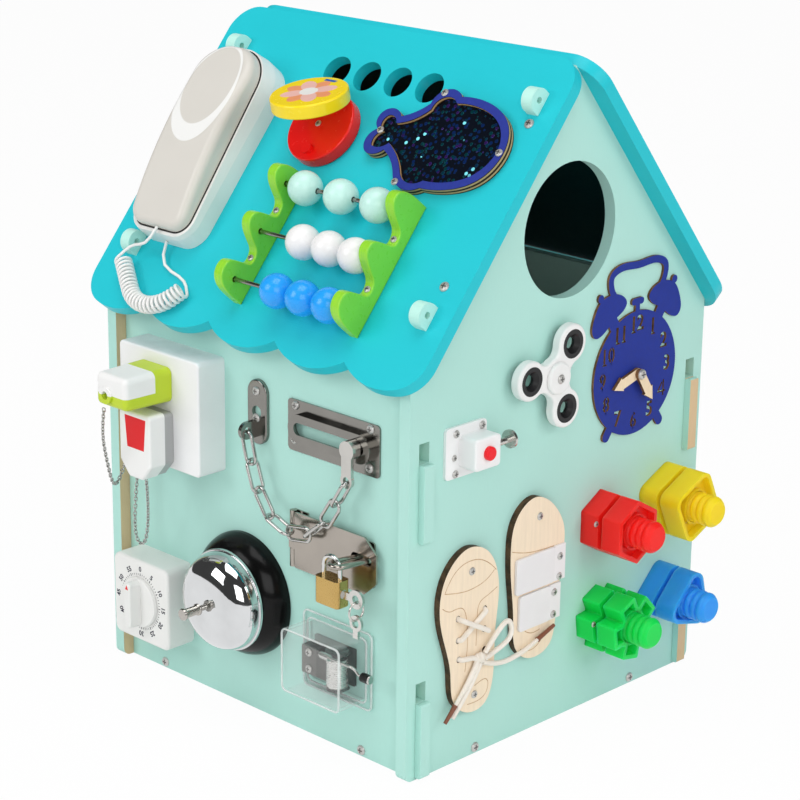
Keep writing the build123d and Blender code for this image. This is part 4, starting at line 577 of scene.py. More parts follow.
def curl_axis(distance):
    """Place along the roof, down the slope, and heading of the curls' middle line."""
    first = min(distance, curl_first_run)
    middle = min(max(distance - curl_first_run, 0.0), curl_bend * curl_turn)
    last = distance - first - middle
    angle = curl_heading + middle / curl_bend
    x = curl_start[0] + first * math.cos(curl_heading)
    x += curl_bend * (math.sin(angle) - math.sin(curl_heading)) + last * math.cos(angle)
    up = -curl_start[1] + first * math.sin(curl_heading)
    up += curl_bend * (math.cos(curl_heading) - math.cos(angle)) + last * math.sin(angle)
    return x, -up, angle


def curl_point(turn):
    x, down, angle = curl_axis(turn * curls_length / curls)
    side = -curl_radius * math.sin(math.tau * turn)
    out = curl_height + curl_radius * math.cos(math.tau * turn)
    return roof_point(x - side * math.sin(angle), down - side * math.cos(angle), out)


def add_spline(data, points, smooth, narrowed=(), closed=False):
    """A smooth line with a route's points as its control points."""
    spline = data.splines.new("NURBS")
    spline.points.add(len(points) - 1)
    for point, place in zip(spline.points, points):
        point.co = (*place, 1.0)
    for end, share in enumerate(narrowed, 1):
        spline.points[-end].radius = share
    spline.use_cyclic_u = closed
    spline.order_u = 3
    spline.use_endpoint_u = not closed
    spline.resolution_u = smooth


def round_leads(name, routes, wire, smooth=6, section=5, narrowed=()):
    """Leads of round section, each along the smooth line of its route."""
    data = bpy.data.curves.new(name, "CURVE")
    data.dimensions = "3D"
    for route in routes:
        add_spline(data, route, smooth, narrowed)
    data.bevel_depth = wire / 2
    data.bevel_resolution = section
    data.use_fill_caps = True
    return new_object(name, data)


curl_in = (curl_point(0) - curl_point(short_turn)).normalized()
curl_away = (curl_point(curls) - curl_point(curls - short_turn)).normalized()
cord_points = [
    roof_point(tail_x, handset_low, handset_tail_height),
    roof_point(tail_x, handset_low + handset_tail, handset_tail_height),
    curl_point(0) + curl_in * tail_reach,
]
cord_points += [curl_point(step / points_a_turn) for step in range(int(curls * points_a_turn) + 1)]
cord_points += [
    curl_point(curls) + curl_away * tail_reach,
    roof_point(tail_x, cradle_low + cradle_tail, cord_rest),
    roof_point(tail_x, cradle_low, cradle_tail_height),
]
phone_cord = round_leads("phone_curly_cord", [cord_points], cord_wire, 3)
fit_piece(phone_cord, [moulded("cord_plastic", cord_white, 0.36)], "house")
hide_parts("phone_cord")

# Castanet: two dished wooden discs, the lower one red and screwed to the roof,
# the upper one yellow with a painted flower and the end of the elastic on it.
castanet_x = -17.0
castanet_down = 86.0
castanet_radius = 27.25
castanet_thick = 10.0
castanet_open = math.radians(37.5)
castanet_round = 1.5
castanet_gap = 0.3
gloss_red = (0.90, 0.008, 0.006)
gloss_yellow = (0.98, 0.73, 0.012)
petals = 8
petal_length = 17.5
petal_width = 11.0
petal_reach = petal_length * 0.62
flower_heart = 6.5
flower_rise = 0.12
petal_step = 0.03
heart_step = 0.10
paint_depth = 0.4
elastic_tab = [(-5, 19.5), (5, 19.5), (5.5, 22.5), (-5.5, 22.5)]
dish_screw = on_roof(-21.6, 83.8, 7.9)


def enamel(name, colour, gloss=0.2):
    """Gloss paint on turned wood: smooth, with a soft orange-peel skin."""
    material, place = new_finish(name, coat_weight=0.3, coat_roughness=0.08)
    peel = blotches(place, 260)
    paint = blotches(place, 30).tint(shade(colour, 0.94), colour)
    return lay_on(material, paint, gloss + 0.08 * peel, peel, 0.08, 0.12)


def round_points(middle_x, middle_y, half_x, half_y, turn=0.0, count=28):
    """Points round an oval that is turned about its own middle."""
    laid = Matrix.Translation((middle_x, middle_y, 0)) @ Matrix.Rotation(turn, 4, "Z")
    angles = [math.tau * step / count for step in range(count)]
    return [(laid @ Vector((half_x * math.cos(a), half_y * math.sin(a), 0))).xy for a in angles]


dress(enamel("castanet_red_paint", gloss_red), "castanet_base")
dress(enamel("castanet_yellow_paint", gloss_yellow), "castanet_lid")
lid_reach = castanet_radius - castanet_round
hinge_place = on_roof(castanet_x, castanet_down - lid_reach, castanet_thick - castanet_round)
lid_top = (
    hinge_place
    @ Matrix.Rotation(-castanet_open, 4, "X")
    @ Matrix.Translation(Vector((0, -lid_reach, castanet_round + castanet_gap + castanet_thick)) * mm)
)
flower_bm = bmesh.new()
for petal in range(petals):
    turn = math.tau * petal / petals
    middle = (petal_reach * math.cos(turn), petal_reach * math.sin(turn))
    leaf = round_points(*middle, petal_length / 2, petal_width / 2, turn)
    odd = petal % 2
    flat_shape(flower_bm, lid_top, leaf, flower_rise + petal_step * odd, paint_depth, odd)
heart = round_points(0, 0, flower_heart, flower_heart)
flat_shape(flower_bm, lid_top, heart, flower_rise + heart_step, paint_depth, 2)
flat_shape(flower_bm, lid_top, elastic_tab, flower_rise, paint_depth, 3)
flower_paints = [
    enamel("petal_peach_paint", (0.90, 0.34, 0.15), 0.3),
    enamel("petal_pink_paint", (0.90, 0.52, 0.45), 0.3),
    enamel("flower_white_paint", (0.87, 0.86, 0.82), 0.3),
    moulded("elastic_blue", (0.02, 0.10, 0.42), 0.6, 700),
]
finish_piece("castanet_flower", flower_bm, flower_paints, "body_castanet_lid")
screw_set("castanet_screw", [dish_screw], 4.8, 0.9)

# Castanet elastic: a thin dark blue cord of covered rubber, drawn through both
# discs in a loop at the hinge.
elastic_wire = 1.6 * mm
elastic_span = 3.2
elastic_navy = moulded("elastic_navy", (0.02, 0.03, 0.10), 0.7, 700)
elastic_bow = [(-2.0, -4.0), (2.6, -3.2), (3.4, 1.2), (2.4, 5.4), (-2.5, 5.6)]
elastic_routes = [
    [hinge_place @ (Vector((side, up, out)) * mm) for up, out in elastic_bow]
    for side in (-elastic_span, elastic_span)
]
castanet_elastic = round_leads("castanet_elastic", elastic_routes, elastic_wire, section=3)
fit_piece(castanet_elastic, [elastic_navy], "house")

# Abacus: two wavy green brackets of sanded ply, rounded over on every edge and
# screwed to the roof in the dips. Three steel rods sit in blind holes between
# them and carry painted wooden beads in mint, white and blue.
bracket_green = (0.19, 0.64, 0.045)
bracket_edge = (0.33, 0.70, 0.03)
bracket_thickness = 8.5
bracket_left = -15.75
bracket_right = 95.25
bracket_round = 1.2
row_downs = [135.3, 172.5, 209.7]
rod_height = 16.5
rod_hole = 4.4 / 2 * mm
rod_bed = 4.6
bore_proud = 1.0
wave_rise = [(-14.5, 9.5), (-12.5, 18.0), (-9.0, 28.5), (-2.0, 30.5)]
wave_fall = [(4.0, 26.5), (8.5, 18.0), (11.5, 11.0), (17.0, 8.8)]
upper_end = [(-12.8, 0.0), (-12.8, 0.0), (-12.8, 18.0), (-9.0, 28.5), (-2.0, 30.5)]
lower_end = [(5.5, 28.0), (10.3, 19.0), (10.8, 0.0), (10.8, 0.0)]
dip = 17.4
dip_floor = 8.9


def bracket_finish(name):
    """Gloss green over ply: the layers show as lighter lines on the edges."""
    material, place = new_finish(name, coat_weight=0.3, coat_roughness=0.08)
    edge = 1.0 - facing(place, (1, 0, 0)).math("ABSOLUTE").ramp(0.5, 0.8)
    plies = stretched_noise(place, 90, (9, 0.5, 0.5), 3.0).ramp(0.35, 0.65)
    peel = blotches(place, 260)
    face = blotches(place, 30).tint(shade(bracket_green, 0.94), bracket_green)
    paint = (edge * (0.45 + 0.55 * plies)).tint(face, bracket_edge)
    return lay_on(material, paint, 0.26 + 0.08 * peel, peel + plies * edge, 0.08, 0.15)


def as_mesh(made):
    """The finished mesh of a helper object, which is then taken away."""
    mesh = bpy.data.meshes.new_from_object(made.evaluated_get(bpy.context.evaluated_depsgraph_get()))
    bpy.data.objects.remove(made)
    return mesh


def take_in(bm, mesh, place=Matrix()):
    """Adds a mesh, laid on a place, to a bmesh."""
    mesh.transform(place)
    bm.from_mesh(mesh)
    bpy.data.meshes.remove(mesh)


def cut_away(bm, cutters):
    """The shape that is left when each cutter is taken out of a closed mesh."""
    blank = new_mesh_object("blank", bm)
    tools = [new_mesh_object("cutter", cutter) for cutter in cutters]
    for tool in tools:
        cut = blank.modifiers.new(tool.name, "BOOLEAN")
        cut.operation = "DIFFERENCE"
        cut.solver = "EXACT"
        cut.use_self = True
        cut.object = tool
    left = bmesh.new()
    take_in(left, as_mesh(blank))
    for tool in tools:
        bpy.data.objects.remove(tool)
    return left


def rounded_board(outline, thickness, edge_round):
    """A board round its own middle plane, cut to a smooth outline and rounded over."""
    data = bpy.data.curves.new("outline", "CURVE")
    data.dimensions = "2D"
    data.fill_mode = "BOTH"
    add_spline(data, [(x * mm, y * mm, 0) for x, y in outline], 5, closed=True)
    data.extrude = (thickness / 2 - edge_round) * mm
    data.bevel_depth = edge_round * mm
    data.bevel_resolution = 3
    data.offset = -edge_round * mm
    return as_mesh(new_object("outline", data))


wave = []
for row, down in enumerate(row_downs):
    rise = upper_end if row == 0 else wave_rise
    fall = lower_end if row == len(row_downs) - 1 else wave_fall
    wave += [(down + way, height) for way, height in rise + fall]
brackets_bm = bmesh.new()
holes_bm = bmesh.new()
for bracket_x, inward in ((bracket_left, 1), (bracket_right, -1)):
    bracket_place = stand(roof_point(bracket_x, 0, 0), roof_down, (-1, 0, 0))
    take_in(brackets_bm, rounded_board(wave, bracket_thickness, bracket_round), bracket_place)
    bore_x = bracket_x + inward * (bracket_thickness - rod_bed + bore_proud) / 2
    for down in row_downs:
        bore = stand(roof_point(bore_x, down, rod_height), (0, 1, 0), (1, 0, 0))
        bmesh.ops.create_cone(
            holes_bm, cap_ends=True, segments=24, radius1=rod_hole, radius2=rod_hole,
            depth=(rod_bed + bore_proud) * mm, matrix=bore,
        )
close_seams(brackets_bm)
green_ply = bracket_finish("bracket_green_paint")
bored_bm = cut_away(brackets_bm, [holes_bm])
wavy_brackets = finish_piece("wavy_brackets", bored_bm, [green_ply], "house")
even = wavy_brackets.modifiers.new("even_shading", "WEIGHTED_NORMAL")
even.keep_sharp = True
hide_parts("abacus_brackets")
dips = [(x, down + dip) for x in (bracket_left, bracket_right) for down in row_downs[:2]]
screw_set("abacus_screws", [on_roof(x, down, dip_floor) for x, down in dips], 5.0, 1.4)
dress(plated("dark_rod_steel", (0.34, 0.325, 0.31), 0.2, (1, 30, 30)), "abacus_rods")
dress(enamel("bead_mint_paint", (0.56, 0.86, 0.78), 0.24), "mint_beads")
dress(enamel("bead_white_paint", (0.87, 0.865, 0.86), 0.24), "white_beads")
dress(enamel("bead_blue_paint", (0.015, 0.36, 0.94), 0.24), "blue_beads")

# Whale window: two laser-cut boards screwed to the roof, painted deep blue.
# The opening shows a dark sheet of sequins that glint blue, green and violet, a few with a painted cyan
# glint.
whale_blue = (0.028, 0.045, 0.30)
burnt_edge = (0.11, 0.055, 0.025)
board_core = (0.55, 0.35, 0.17)
sheet_black = (0.001, 0.003, 0.009)
sequin_blue = (0.010, 0.045, 0.21)
sequin_green = (0.005, 0.085, 0.11)
sequin_violet = (0.065, 0.022, 0.20)
painted_glint_cyan = (0.22, 0.83, 0.92)
whale_board = 3.2
sequin = 3.4 * mm
whale_screws = [(71.3, 43.4), (33.9, 78.6), (139.8, 77.7), (68.6, 112.7)]


def cells(place, scale):
    """Distance from the middle of the nearest of many small cells."""
    return place.node("TexVoronoi", {"feature": "F1"}, {"Vector": place, "Scale": scale})


def whale_finish(name):
    """Blue paint on the frame, sequins with a few painted glints in its opening, and layered burnt edges.
    """
    material, place = new_finish(name, coat_roughness=0.1, specular_ior_level=0.1)
    height = along(place, roof_out, roof_out.dot(roof_crest))
    upper = height.ramp((whale_board + 0.02) * mm, (whale_board + 0.04) * mm)
    top_side = facing(place, roof_out).ramp(0.6, 0.7)
    skin = blotches(place, 300)
    paint = skin.tint(shade(whale_blue, 0.9), whale_blue)
    share = (height * (1 / (whale_board * mm))).math("FRACT")
    core = share.ramp(0.25, 0.4) * (1.0 - share.ramp(0.7, 0.85))
    cut = core.tint(shade(burnt_edge, 0.3), board_core)
    spots = cells(place, 1 / sequin)
    first = place.node("SeparateColor", None, {0: spots.beside("Color")})
    second = first.beside(1)
    third = first.beside(2)
    disc = 1.0 - spots.ramp(0.36, 0.44)
    # Painted highlight: a few random sequins are coloured bright cyan as a glint, and are kept from being
    # metal.
    bright = third.ramp(0.968, 0.972) * disc
    hue = disc.tint(sheet_black, first.ramp(0.35, 0.65).tint(sequin_blue, sequin_green))
    hue = (second.ramp(0.82, 0.85) * disc).tint(hue, sequin_violet)
    lying = upper.tint(bright.tint(hue, painted_glint_cyan), paint)
    metal = (1.0 - upper) * top_side * disc * (1.0 - bright)
    relief = skin * 0.1 + first * metal
    return lay_on(
        material, top_side.tint(cut, lying), 0.42 - 0.22 * metal, relief, 0.35, 0.6, Metallic=metal * 0.7
    )


dress(whale_finish("whale_board_finish"), "whale_window")
screw_set("whale_screws", [on_roof(x, down, 2 * whale_board + 0.05) for x, down in whale_screws], 5.4, 1.3)

# Finger spinner: a white three-lobed body with black weights in its lobes,
# turning on a hub that is screwed to the gable.
spinner_place = (-22.0, 256.5)
spinner_top = (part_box("spinner_hub")[1].x - gable_face) / mm
dress(moulded("spinner_white_plastic", (0.85, 0.85, 0.84), 0.25), "spinner_body", "spinner_hub")
dress(moulded("spinner_black_plastic", (0.012, 0.012, 0.013), 0.3), "spinner_weights")
screw_set("spinner_screw", [on_gable(*spinner_place, spinner_top)], 6.5, 1.4)

# Alarm clock: a laser-cut board painted deep blue with the hours cut through
# it, narrow bridges holding the middles of closed figures. Two bare wooden
# hands turn on one screw.
clock_blue = (0.020, 0.040, 0.30)
clock_y = 72.0
clock_z = 238.4
clock_board = 2.0
clock_cut = 3 * clock_board
clock_pivot = 8.0
numeral_ring = 35.0
numeral_size = 14.8
numeral_bold = 0.033
closed_bold = 0.018
bridge_width = 0.8
bridge_length = 13.0
bridged_hours = {6: 0.0, 8: 0.0, 9: 0.0, 10: 3.8}
serifs = {1: [0.6], 10: [-3.3], 11: [-2.6, 3.7], 12: [-3.5]}
serif_drop = 5.5
serif_width = 4.2
serif_height = 1.2
four_strokes = [(1.9, 0.0, 1.6, 11.6, 0), (0.0, -2.4, 8.4, 1.4, 0), (-1.7, 1.2, 1.4, 7.4, -36)]


def cut_board(name, colour, out_way, stretch=None):
    """Thin ply cut by laser: painted or bare faces and dark burnt edges."""
    material, place = new_finish(name, specular_ior_level=0.15)
    top = facing(place, out_way).math("ABSOLUTE").ramp(0.75, 0.85)
    skin = blotches(place, 320)
    if stretch:
        surface = grain_colour(place, colour, stretch)
    else:
        surface = skin.tint(shade(colour, 0.88), colour)
    scorch = pores(place, 180).tint(burnt_edge, shade(burnt_edge, 2.2))
    return lay_on(material, top.tint(scorch, surface), 0.5 + 0.1 * skin, skin, 0.08, 0.3)


def add_word(bm, place, text, size, thickness, bold):
    """Figures as a closed mesh, laid flat with their middle on the place."""
    data = bpy.data.curves.new("figure", "FONT")
    data.body = text
    data.size = size * mm
    data.align_x = "CENTER"
    data.align_y = "CENTER"
    data.extrude = thickness / 2 * mm
    data.offset = bold * size * mm
    data.resolution_u = 3
    take_in(bm, as_mesh(new_object("figure", data)), place)


def moved(x, y, z=0.0):
    return Matrix.Translation(Vector((x, y, z)) * mm)


def add_block(bm, place, width, length, depth):
    """A rectangular bar round the place's origin."""
    shape = Matrix.Diagonal((width * mm, length * mm, depth * mm, 1.0))
    bmesh.ops.create_cube(bm, size=1.0, matrix=place @ shape)


def joined_copy(node):
    """A solid's own mesh as a bmesh with its loose triangles joined."""
    bm = bmesh.new()
    bm.from_mesh(nodes[node].data)
    bmesh.ops.remove_doubles(bm, verts=bm.verts, dist=0.002 * mm)
    return bm


clock_middle = on_gable(clock_y, clock_z, clock_board / 2)
figures_bm = bmesh.new()
bars_bm = bmesh.new()
bridges = []
for hour in range(1, 13):
    angle = math.radians(90 - 30 * hour)
    spot = clock_middle @ moved(numeral_ring * math.cos(angle), numeral_ring * math.sin(angle))
    bars = [(sideways, -serif_drop, serif_width, serif_height, 0) for sideways in serifs.get(hour, [])]
    if hour == 4:
        bars = four_strokes
    else:
        bold = closed_bold if hour in bridged_hours else numeral_bold
        add_word(figures_bm, spot, str(hour), numeral_size, clock_cut, bold)
    for sideways, up, width, length, turn in bars:
        bar = spot @ moved(sideways, up) @ Matrix.Rotation(math.radians(turn), 4, "Z")
        add_block(bars_bm, bar, width, length, clock_cut)
    if hour in bridged_hours:
        bridges.append(spot @ moved(bridged_hours[hour], 0))
close_seams(figures_bm)
dial_bm = cut_away(joined_copy("clock_face"), [figures_bm, bars_bm])
for bridge in bridges:
    add_block(dial_bm, bridge, bridge_width, bridge_length, clock_board)
clock_paint = cut_board("clock_board_finish", clock_blue, (1, 0, 0))
clock_dial = finish_piece("clock_dial", dial_bm, [clock_paint], "house", 0.0)
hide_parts("clock_face")
dress(cut_board("bare_ply", (0.88, 0.71, 0.50), (1, 0, 0), upright), "hour_hand", "minute_hand")
screw_set("clock_pivot_screw", [on_gable(clock_y, clock_z, clock_pivot)], 7.4, 1.8)

# Push latch: white moulded plate and case, steel plunger with a flat knob,
# and a red release button. Small screws hold the plate to the gable.
latch_plate = 2.2
latch_screws = [(-109.3, 235.2), (-84.7, 236.2), (-109.5, 208.0)]
latch_small = (-110.8, 219.2)
dress(moulded("latch_white_plastic", (0.86, 0.86, 0.86), 0.24), "latch_case")
dress(moulded("latch_red_plastic", (0.84, 0.010, 0.018), 0.3), "latch_button")
dress(plated("latch_steel", (0.66, 0.645, 0.61), 0.22), "latch_bolt")
screw_set("latch_screws", [on_gable(*place, latch_plate) for place in latch_screws], 5.4, 1.3)
screw_set("latch_small_screw", [on_gable(*latch_small, latch_plate)], 4.4, 1.0)

# Practice shoes: two soles of bare ply with burnt edges and scored seams,
# screwed to the gable. One is laced, the other closes with two white straps
# of coated leather.
shoe_birch = (0.92, 0.765, 0.58)
strap_white = (0.84, 0.82, 0.83)
shoe_board = 5.0
strap_top = 6.8
seam_width = 0.8 * mm
seam_level = shoe_board - 0.25
shoe_screws = [(-94.5, 137.4), (-89.7, 47.5), (-27.7, 158.8)]
strap_screws = [(-7.5, 125.1), (-7.9, 110.5), (-12.6, 100.0), (-12.9, 83.8)]
seams = [
    [(-120.2, 128.3), (-115, 138), (-103.2, 145.2), (-87.8, 145), (-75.3, 137.5), (-70.6, 132.1)],
    [(-120.2, 128.3), (-104.8, 124.3), (-88.3, 124.9), (-77.2, 128.3), (-72.3, 132.6)],
    [
        (-122.1, 118.4), (-116.6, 113.8), (-108.9, 114.7), (-102.3, 113.9),
        (-99, 107.6), (-97.6, 96.6), (-97, 82.4), (-99.3, 66.6),
    ],
    [(-69, 119.4), (-76.8, 116.3), (-85.1, 114.2), (-88.3, 109.4), (-88.4, 95.5), (-88.9, 82.5)],
    [(-89.4, 53.6), (-79.9, 57.2), (-75.2, 52.4), (-77.7, 44), (-86.7, 41), (-96.3, 42)],
    [(-55, 140.1), (-44.5, 136.3), (-28.1, 133.7), (-11.6, 133.4)],
    [(-39.8, 78.5), (-36.1, 75.6), (-29, 74.5), (-24.3, 75.6)],
    [(-43.9, 66.3), (-36.7, 62.2), (-27.3, 63), (-22.2, 67.4)],
]


def shoe_finish(name):
    """Bare ply soles, with the strap tabs on the second shoe in white."""
    material, place = new_finish(name)
    tab = along(place, (1, 0, 0), gable_face).ramp((shoe_board + 0.01) * mm, (shoe_board + 0.05) * mm)
    top = facing(place, (1, 0, 0)).ramp(0.75, 0.85)
    scorch = pores(place, 180).tint(shade(burnt_edge, 0.35), burnt_edge)
    sole = top.tint(scorch, grain_colour(place, shoe_birch, upright))
    fibres = stretched_noise(place, 300, upright)
    return lay_on(material, tab.tint(sole, strap_white), 0.55 + 0.1 * fibres, fibres, 0.12, 0.35)


def seam_finish(name):
    """A line scored by laser: burnt, paler here and there."""
    material, place = new_finish(name)
    burn = blotches(place, 240, 3.0)
    return lay_on(material, burn.tint((0.50, 0.30, 0.15), (0.66, 0.45, 0.26)), 0.7 + 0.1 * burn)


def strap_finish(name):
    """White coated strap: a fine leathery grain."""
    material, place = new_finish(name)
    cloud = blotches(place, 40)
    white = cloud.tint(shade(strap_white, 0.95), strap_white)
    return lay_on(material, white, 0.42 + 0.15 * cloud, cells(place, 900), 0.15, 0.3)


def gable_route(*places):
    """Points on the gable as (y, z, height above the wall)."""
    return [on_gable(*place).translation for place in places]


dress(shoe_finish("shoe_ply"), "shoe_soles")
dress(strap_finish("strap_white_leather"), "strap_upper", "strap_lower")
seam_routes = [gable_route(*[(y, z, seam_level) for y, z in seam]) for seam in seams]
shoe_seams = round_leads("shoe_seam_lines", seam_routes, seam_width, section=2)
fit_piece(shoe_seams, [seam_finish("scorched_line")], "house")
screw_set("shoe_screws", [on_gable(*place, shoe_board) for place in shoe_screws], 5.6, 1.2)
screw_set("strap_screws", [on_gable(*place, strap_top) for place in strap_screws], 5.4, 1.2)

# Shoe lace: a round braided cotton cord laced through the ply and tied in a
# bow, with a brown tip crimped on each end.
lace_wire = 3.6
lace_gap = 0.3
lace_level = shoe_board + lace_wire / 2 + lace_gap
over = lace_wire + lace_gap
behind = 0.6 - lace_level
lace_holes = [(-107.0, 107.0), (-81.0, 107.0), (-106.5, 91.5), (-81.0, 92.5), (-105.5, 77.5)]


def lace_route(*places):
    """Points on the shoe as (y, z, height above the level at which the lace lies)."""
    return gable_route(*[(y, z, lace_level + lift) for y, z, lift in places])


lace_routes = {
    "over": lace_route(
        (*lace_holes[0], behind), (*lace_holes[0], over - 1), (-103, 104.8, over),
        (-85, 94.8, over), (*lace_holes[3], over - 1), (*lace_holes[3], behind),
    ),
    "under": lace_route(
        (*lace_holes[1], behind), (*lace_holes[1], 0), (-84, 105, 0),
        (-103.5, 93.4, 0), (*lace_holes[2], 0), (*lace_holes[2], behind),
    ),
    "left": lace_route(
        (*lace_holes[4], behind), (*lace_holes[4], 0), (-101, 77, 0),
        (-91, 75.5, 0), (-90, 71.5, 0.5), (-99, 60, 1),
        (-110, 47.7, 0.5), (-120, 36.5, 0),
    ),
    "loop": lace_route(
        (-84.5, 77.5, 2.2), (-72, 90, 2), (-60, 96, 2),
        (-57, 82, 2), (-70, 76, 2), (-84, 72.6, 1),
    ),
    "right": lace_route(
        (-85, 70.5, 0.5), (-70, 63, 0), (-46, 65, 1),
        (-29, 70.5, 1), (-13, 76, 1),
    ),
    "second": lace_route(
        (-87, 70.5, 0.5), (-95, 58, 1), (-113, 38, 0),
    ),
}
knot_place = (-87.0, 74.5)
knot_radius = 2.5
knot_steps = 10
knot_rolls = [(20, 0.4, 4.6), (100, 1.2, 4.2), (150, -0.2, 4.8)]
tip_lengths = {"left": 14.0, "right": 18.0}
tip_radius = 1.3
tip_mouth = lace_wire / 2 + 0.15
crimp = 0.62


def lace_finish(name):
    """Braided cotton: small raised stitches with a soft sheen."""
    material, place = new_finish(name, sheen_weight=0.3)
    stitches = cells(place, 800)
    cotton = blotches(place, 60).tint((0.84, 0.77, 0.68), (0.90, 0.845, 0.77))
    return lay_on(material, cotton, 0.8 + 0.1 * stitches, 1.0 - stitches, 0.35, 0.6)


def toward(start, end):
    """Matrix at start whose Z looks at end."""
    turned = (end - start).to_track_quat("Z", "Y").to_matrix().to_4x4()
    turned.translation = start
    return turned


lace_cotton = lace_finish("lace_cotton")
tip_brown = moulded("lace_tip_brown", (0.23, 0.085, 0.05), 0.35)
knot_bm = bmesh.new()
arc = [math.pi * step / knot_steps - math.pi / 2 for step in range(knot_steps + 1)]
for heading, lift, reach in knot_rolls:
    roll = on_gable(*knot_place, lace_level + lift) @ Matrix.Rotation(math.radians(heading), 4, "Z")
    barrel = [(knot_radius * math.cos(a), reach * math.sin(a)) for a in arc]
    turned_piece(knot_bm, barrel, roll @ Matrix.Rotation(math.pi / 2, 4, "Y"), 16)
lace_knot = finish_piece("lace_knot", knot_bm, [lace_cotton], "house", 60)

for name, route in lace_routes.items():
    narrowed = (crimp, crimp) if name in tip_lengths else ()
    strand = round_leads("lace_" + name, [route], lace_wire * mm, 8, narrowed=narrowed)
    fit_piece(strand, [lace_cotton], "house")
    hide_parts("shoe_lace")
    on_strand = [lace_knot] if name == "left" else []
    if name in tip_lengths:
        tip_length = tip_lengths[name]
        run = (route[-1] - route[-2]).normalized()
        sleeve = [(0, 0), (tip_mouth, 0), (tip_mouth, 0.6), (tip_radius + 0.35, 1.6)]
        sleeve += [(tip_radius, tip_length), (0, tip_length + 0.2)]
        tip_bm = bmesh.new()
        turned_piece(tip_bm, sleeve, toward(route[-1] - run * (tip_length * mm), route[-1]), 16)
        on_strand.append(finish_piece("lace_tip_" + name, tip_bm, [tip_brown], "house"))
    "taut" if name in ("over", "under") else "loose"

# Big nuts and bolts: four pairs of different shapes in saturated plastic that
# lets some light in, the bolts screwed to the gable through their heads.
bolt_colours = {
    "red": (1.0, 0.016, 0.012),
    "yellow": (1.0, 0.69, 0.012),
    "green": (0.006, 0.72, 0.095),
    "blue": (0.03, 0.33, 1.0),
}
glow = {"subsurface_weight": 0.7, "subsurface_scale": 12 * mm, "subsurface_radius": (1, 1, 1)}
bolts_middle_y = 75 * mm
bolts_middle_z = 101 * mm
bolt_head = 15.5
bolt_screws = [(20.8, 68.8), (19.3, 143.6)]


def bolt_finish(name):
    """One material for the four bolts: each quarter of the board its own colour."""
    material, place = new_finish(name, **glow)
    far = along(place, (0, 1, 0), bolts_middle_y).ramp(-0.1 * mm, 0.1 * mm)
    high = along(place, (0, 0, 1), bolts_middle_z).ramp(-0.1 * mm, 0.1 * mm)
    low_pair = far.tint(bolt_colours["green"], bolt_colours["blue"])
    high_pair = far.tint(bolt_colours["red"], bolt_colours["yellow"])
    skin = pores(place, 900)
    return lay_on(material, high.tint(low_pair, high_pair), 0.34 + 0.1 * skin, skin, 0.06, 0.3)


for colour_name, colour in bolt_colours.items():
    nut = "nut_" + colour_name
    dress(moulded(nut + "_plastic", colour, 0.34, 900, **glow), nut)
dress(bolt_finish("bolt_plastic"), "toy_bolts")
screw_set("bolt_screws", [on_gable(*place, bolt_head) for place in bolt_screws], 4.2, 1.0)

# Socket box: white moulded wall box with two socket rows. The plug fobs in it
# are lime and white, and hang on thin nickel chains of round wire links.
lime = (0.52, 0.66, 0.035)
cover_white = (0.85, 0.85, 0.84)
cover_out = 38.4 * mm
cover_depth = 15.2 * mm
fob_grey = (0.40, 0.41, 0.41)
fob_white = (0.86, 0.86, 0.85)
fob_front = -wall_face - 32.9 * mm
window_red = (0.74, 0.008, 0.012)
window_x = -76.5 * mm
window_low = 187 * mm
window_high = 209.8 * mm
window_half = 8.9 * mm
window_taper = 0.10
fob_routes = {
    "plug_green": [
        (-116, -161, 168.77), (-115, -170, 152), (-106, -184, 150),
        (-98, -196, 176), (-89, -206.7, 202), (-84, -207.7, 220.6),
    ],
    "plug_red": [
        (-113, -154, 168.77), (-115.5, -157, 134), (-113, -160, 102),
        (-97, -163, 103), (-88, -167, 136), (-77.5, -177.8, 164),
    ],
}
fob_link = 4.4
fob_link_width = 3.0
fob_wire = 0.85
fob_pitch = (fob_link - 2 * fob_wire) * mm


def green_fob_finish(name):
    """Lime body with a white cover over the outer part of its upper face."""
    material, place = new_finish(name)
    cover_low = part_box("plug_green")[1].z - cover_depth
    front = along(place, (0, -1, 0), wall_face).ramp(cover_out, cover_out + 0.2 * mm)
    top = along(place, (0, 0, 1)).ramp(cover_low, cover_low + 0.2 * mm)
    skin = pores(place, 1500)
    return lay_on(material, (front * top).tint(lime, cover_white), 0.3 + 0.08 * skin, skin, 0.05, 0.3)


def red_fob_finish(name):
    """White front with a red tapered window, and a grey clear back."""
    material, place = new_finish(name)
    front = 1.0 - along(place, (0, 1, 0)).ramp(fob_front, fob_front + 0.2 * mm)
    z = along(place, (0, 0, 1))
    half = (z - window_low) * window_taper + window_half
    beside = along(place, (1, 0, 0), window_x).math("ABSOLUTE") - half
    window = 1.0 - beside.ramp(-0.1 * mm, 0.1 * mm)
    window = window * z.ramp(window_low - 0.1 * mm, window_low + 0.1 * mm)
    window = window * (1.0 - z.ramp(window_high - 0.1 * mm, window_high + 0.1 * mm))
    window = window * facing(place, (0, -1, 0)).ramp(0.6, 0.8)
    skin = pores(place, 1500)
    colour = window.tint(front.tint(fob_grey, fob_white), window_red)
    roughness = 0.28 + 0.10 * window + 0.08 * skin
    return lay_on(material, colour, roughness, skin * 0.2 - window, 0.2, 0.4)


def route_points(points):
    """Close points along the smooth line of a route, in metres."""
    mesh = as_mesh(round_leads("route", [[Vector(point) * mm for point in points]], 0.0, 40))
    places = [vert.co.copy() for vert in mesh.vertices]
    bpy.data.meshes.remove(mesh)
    return places


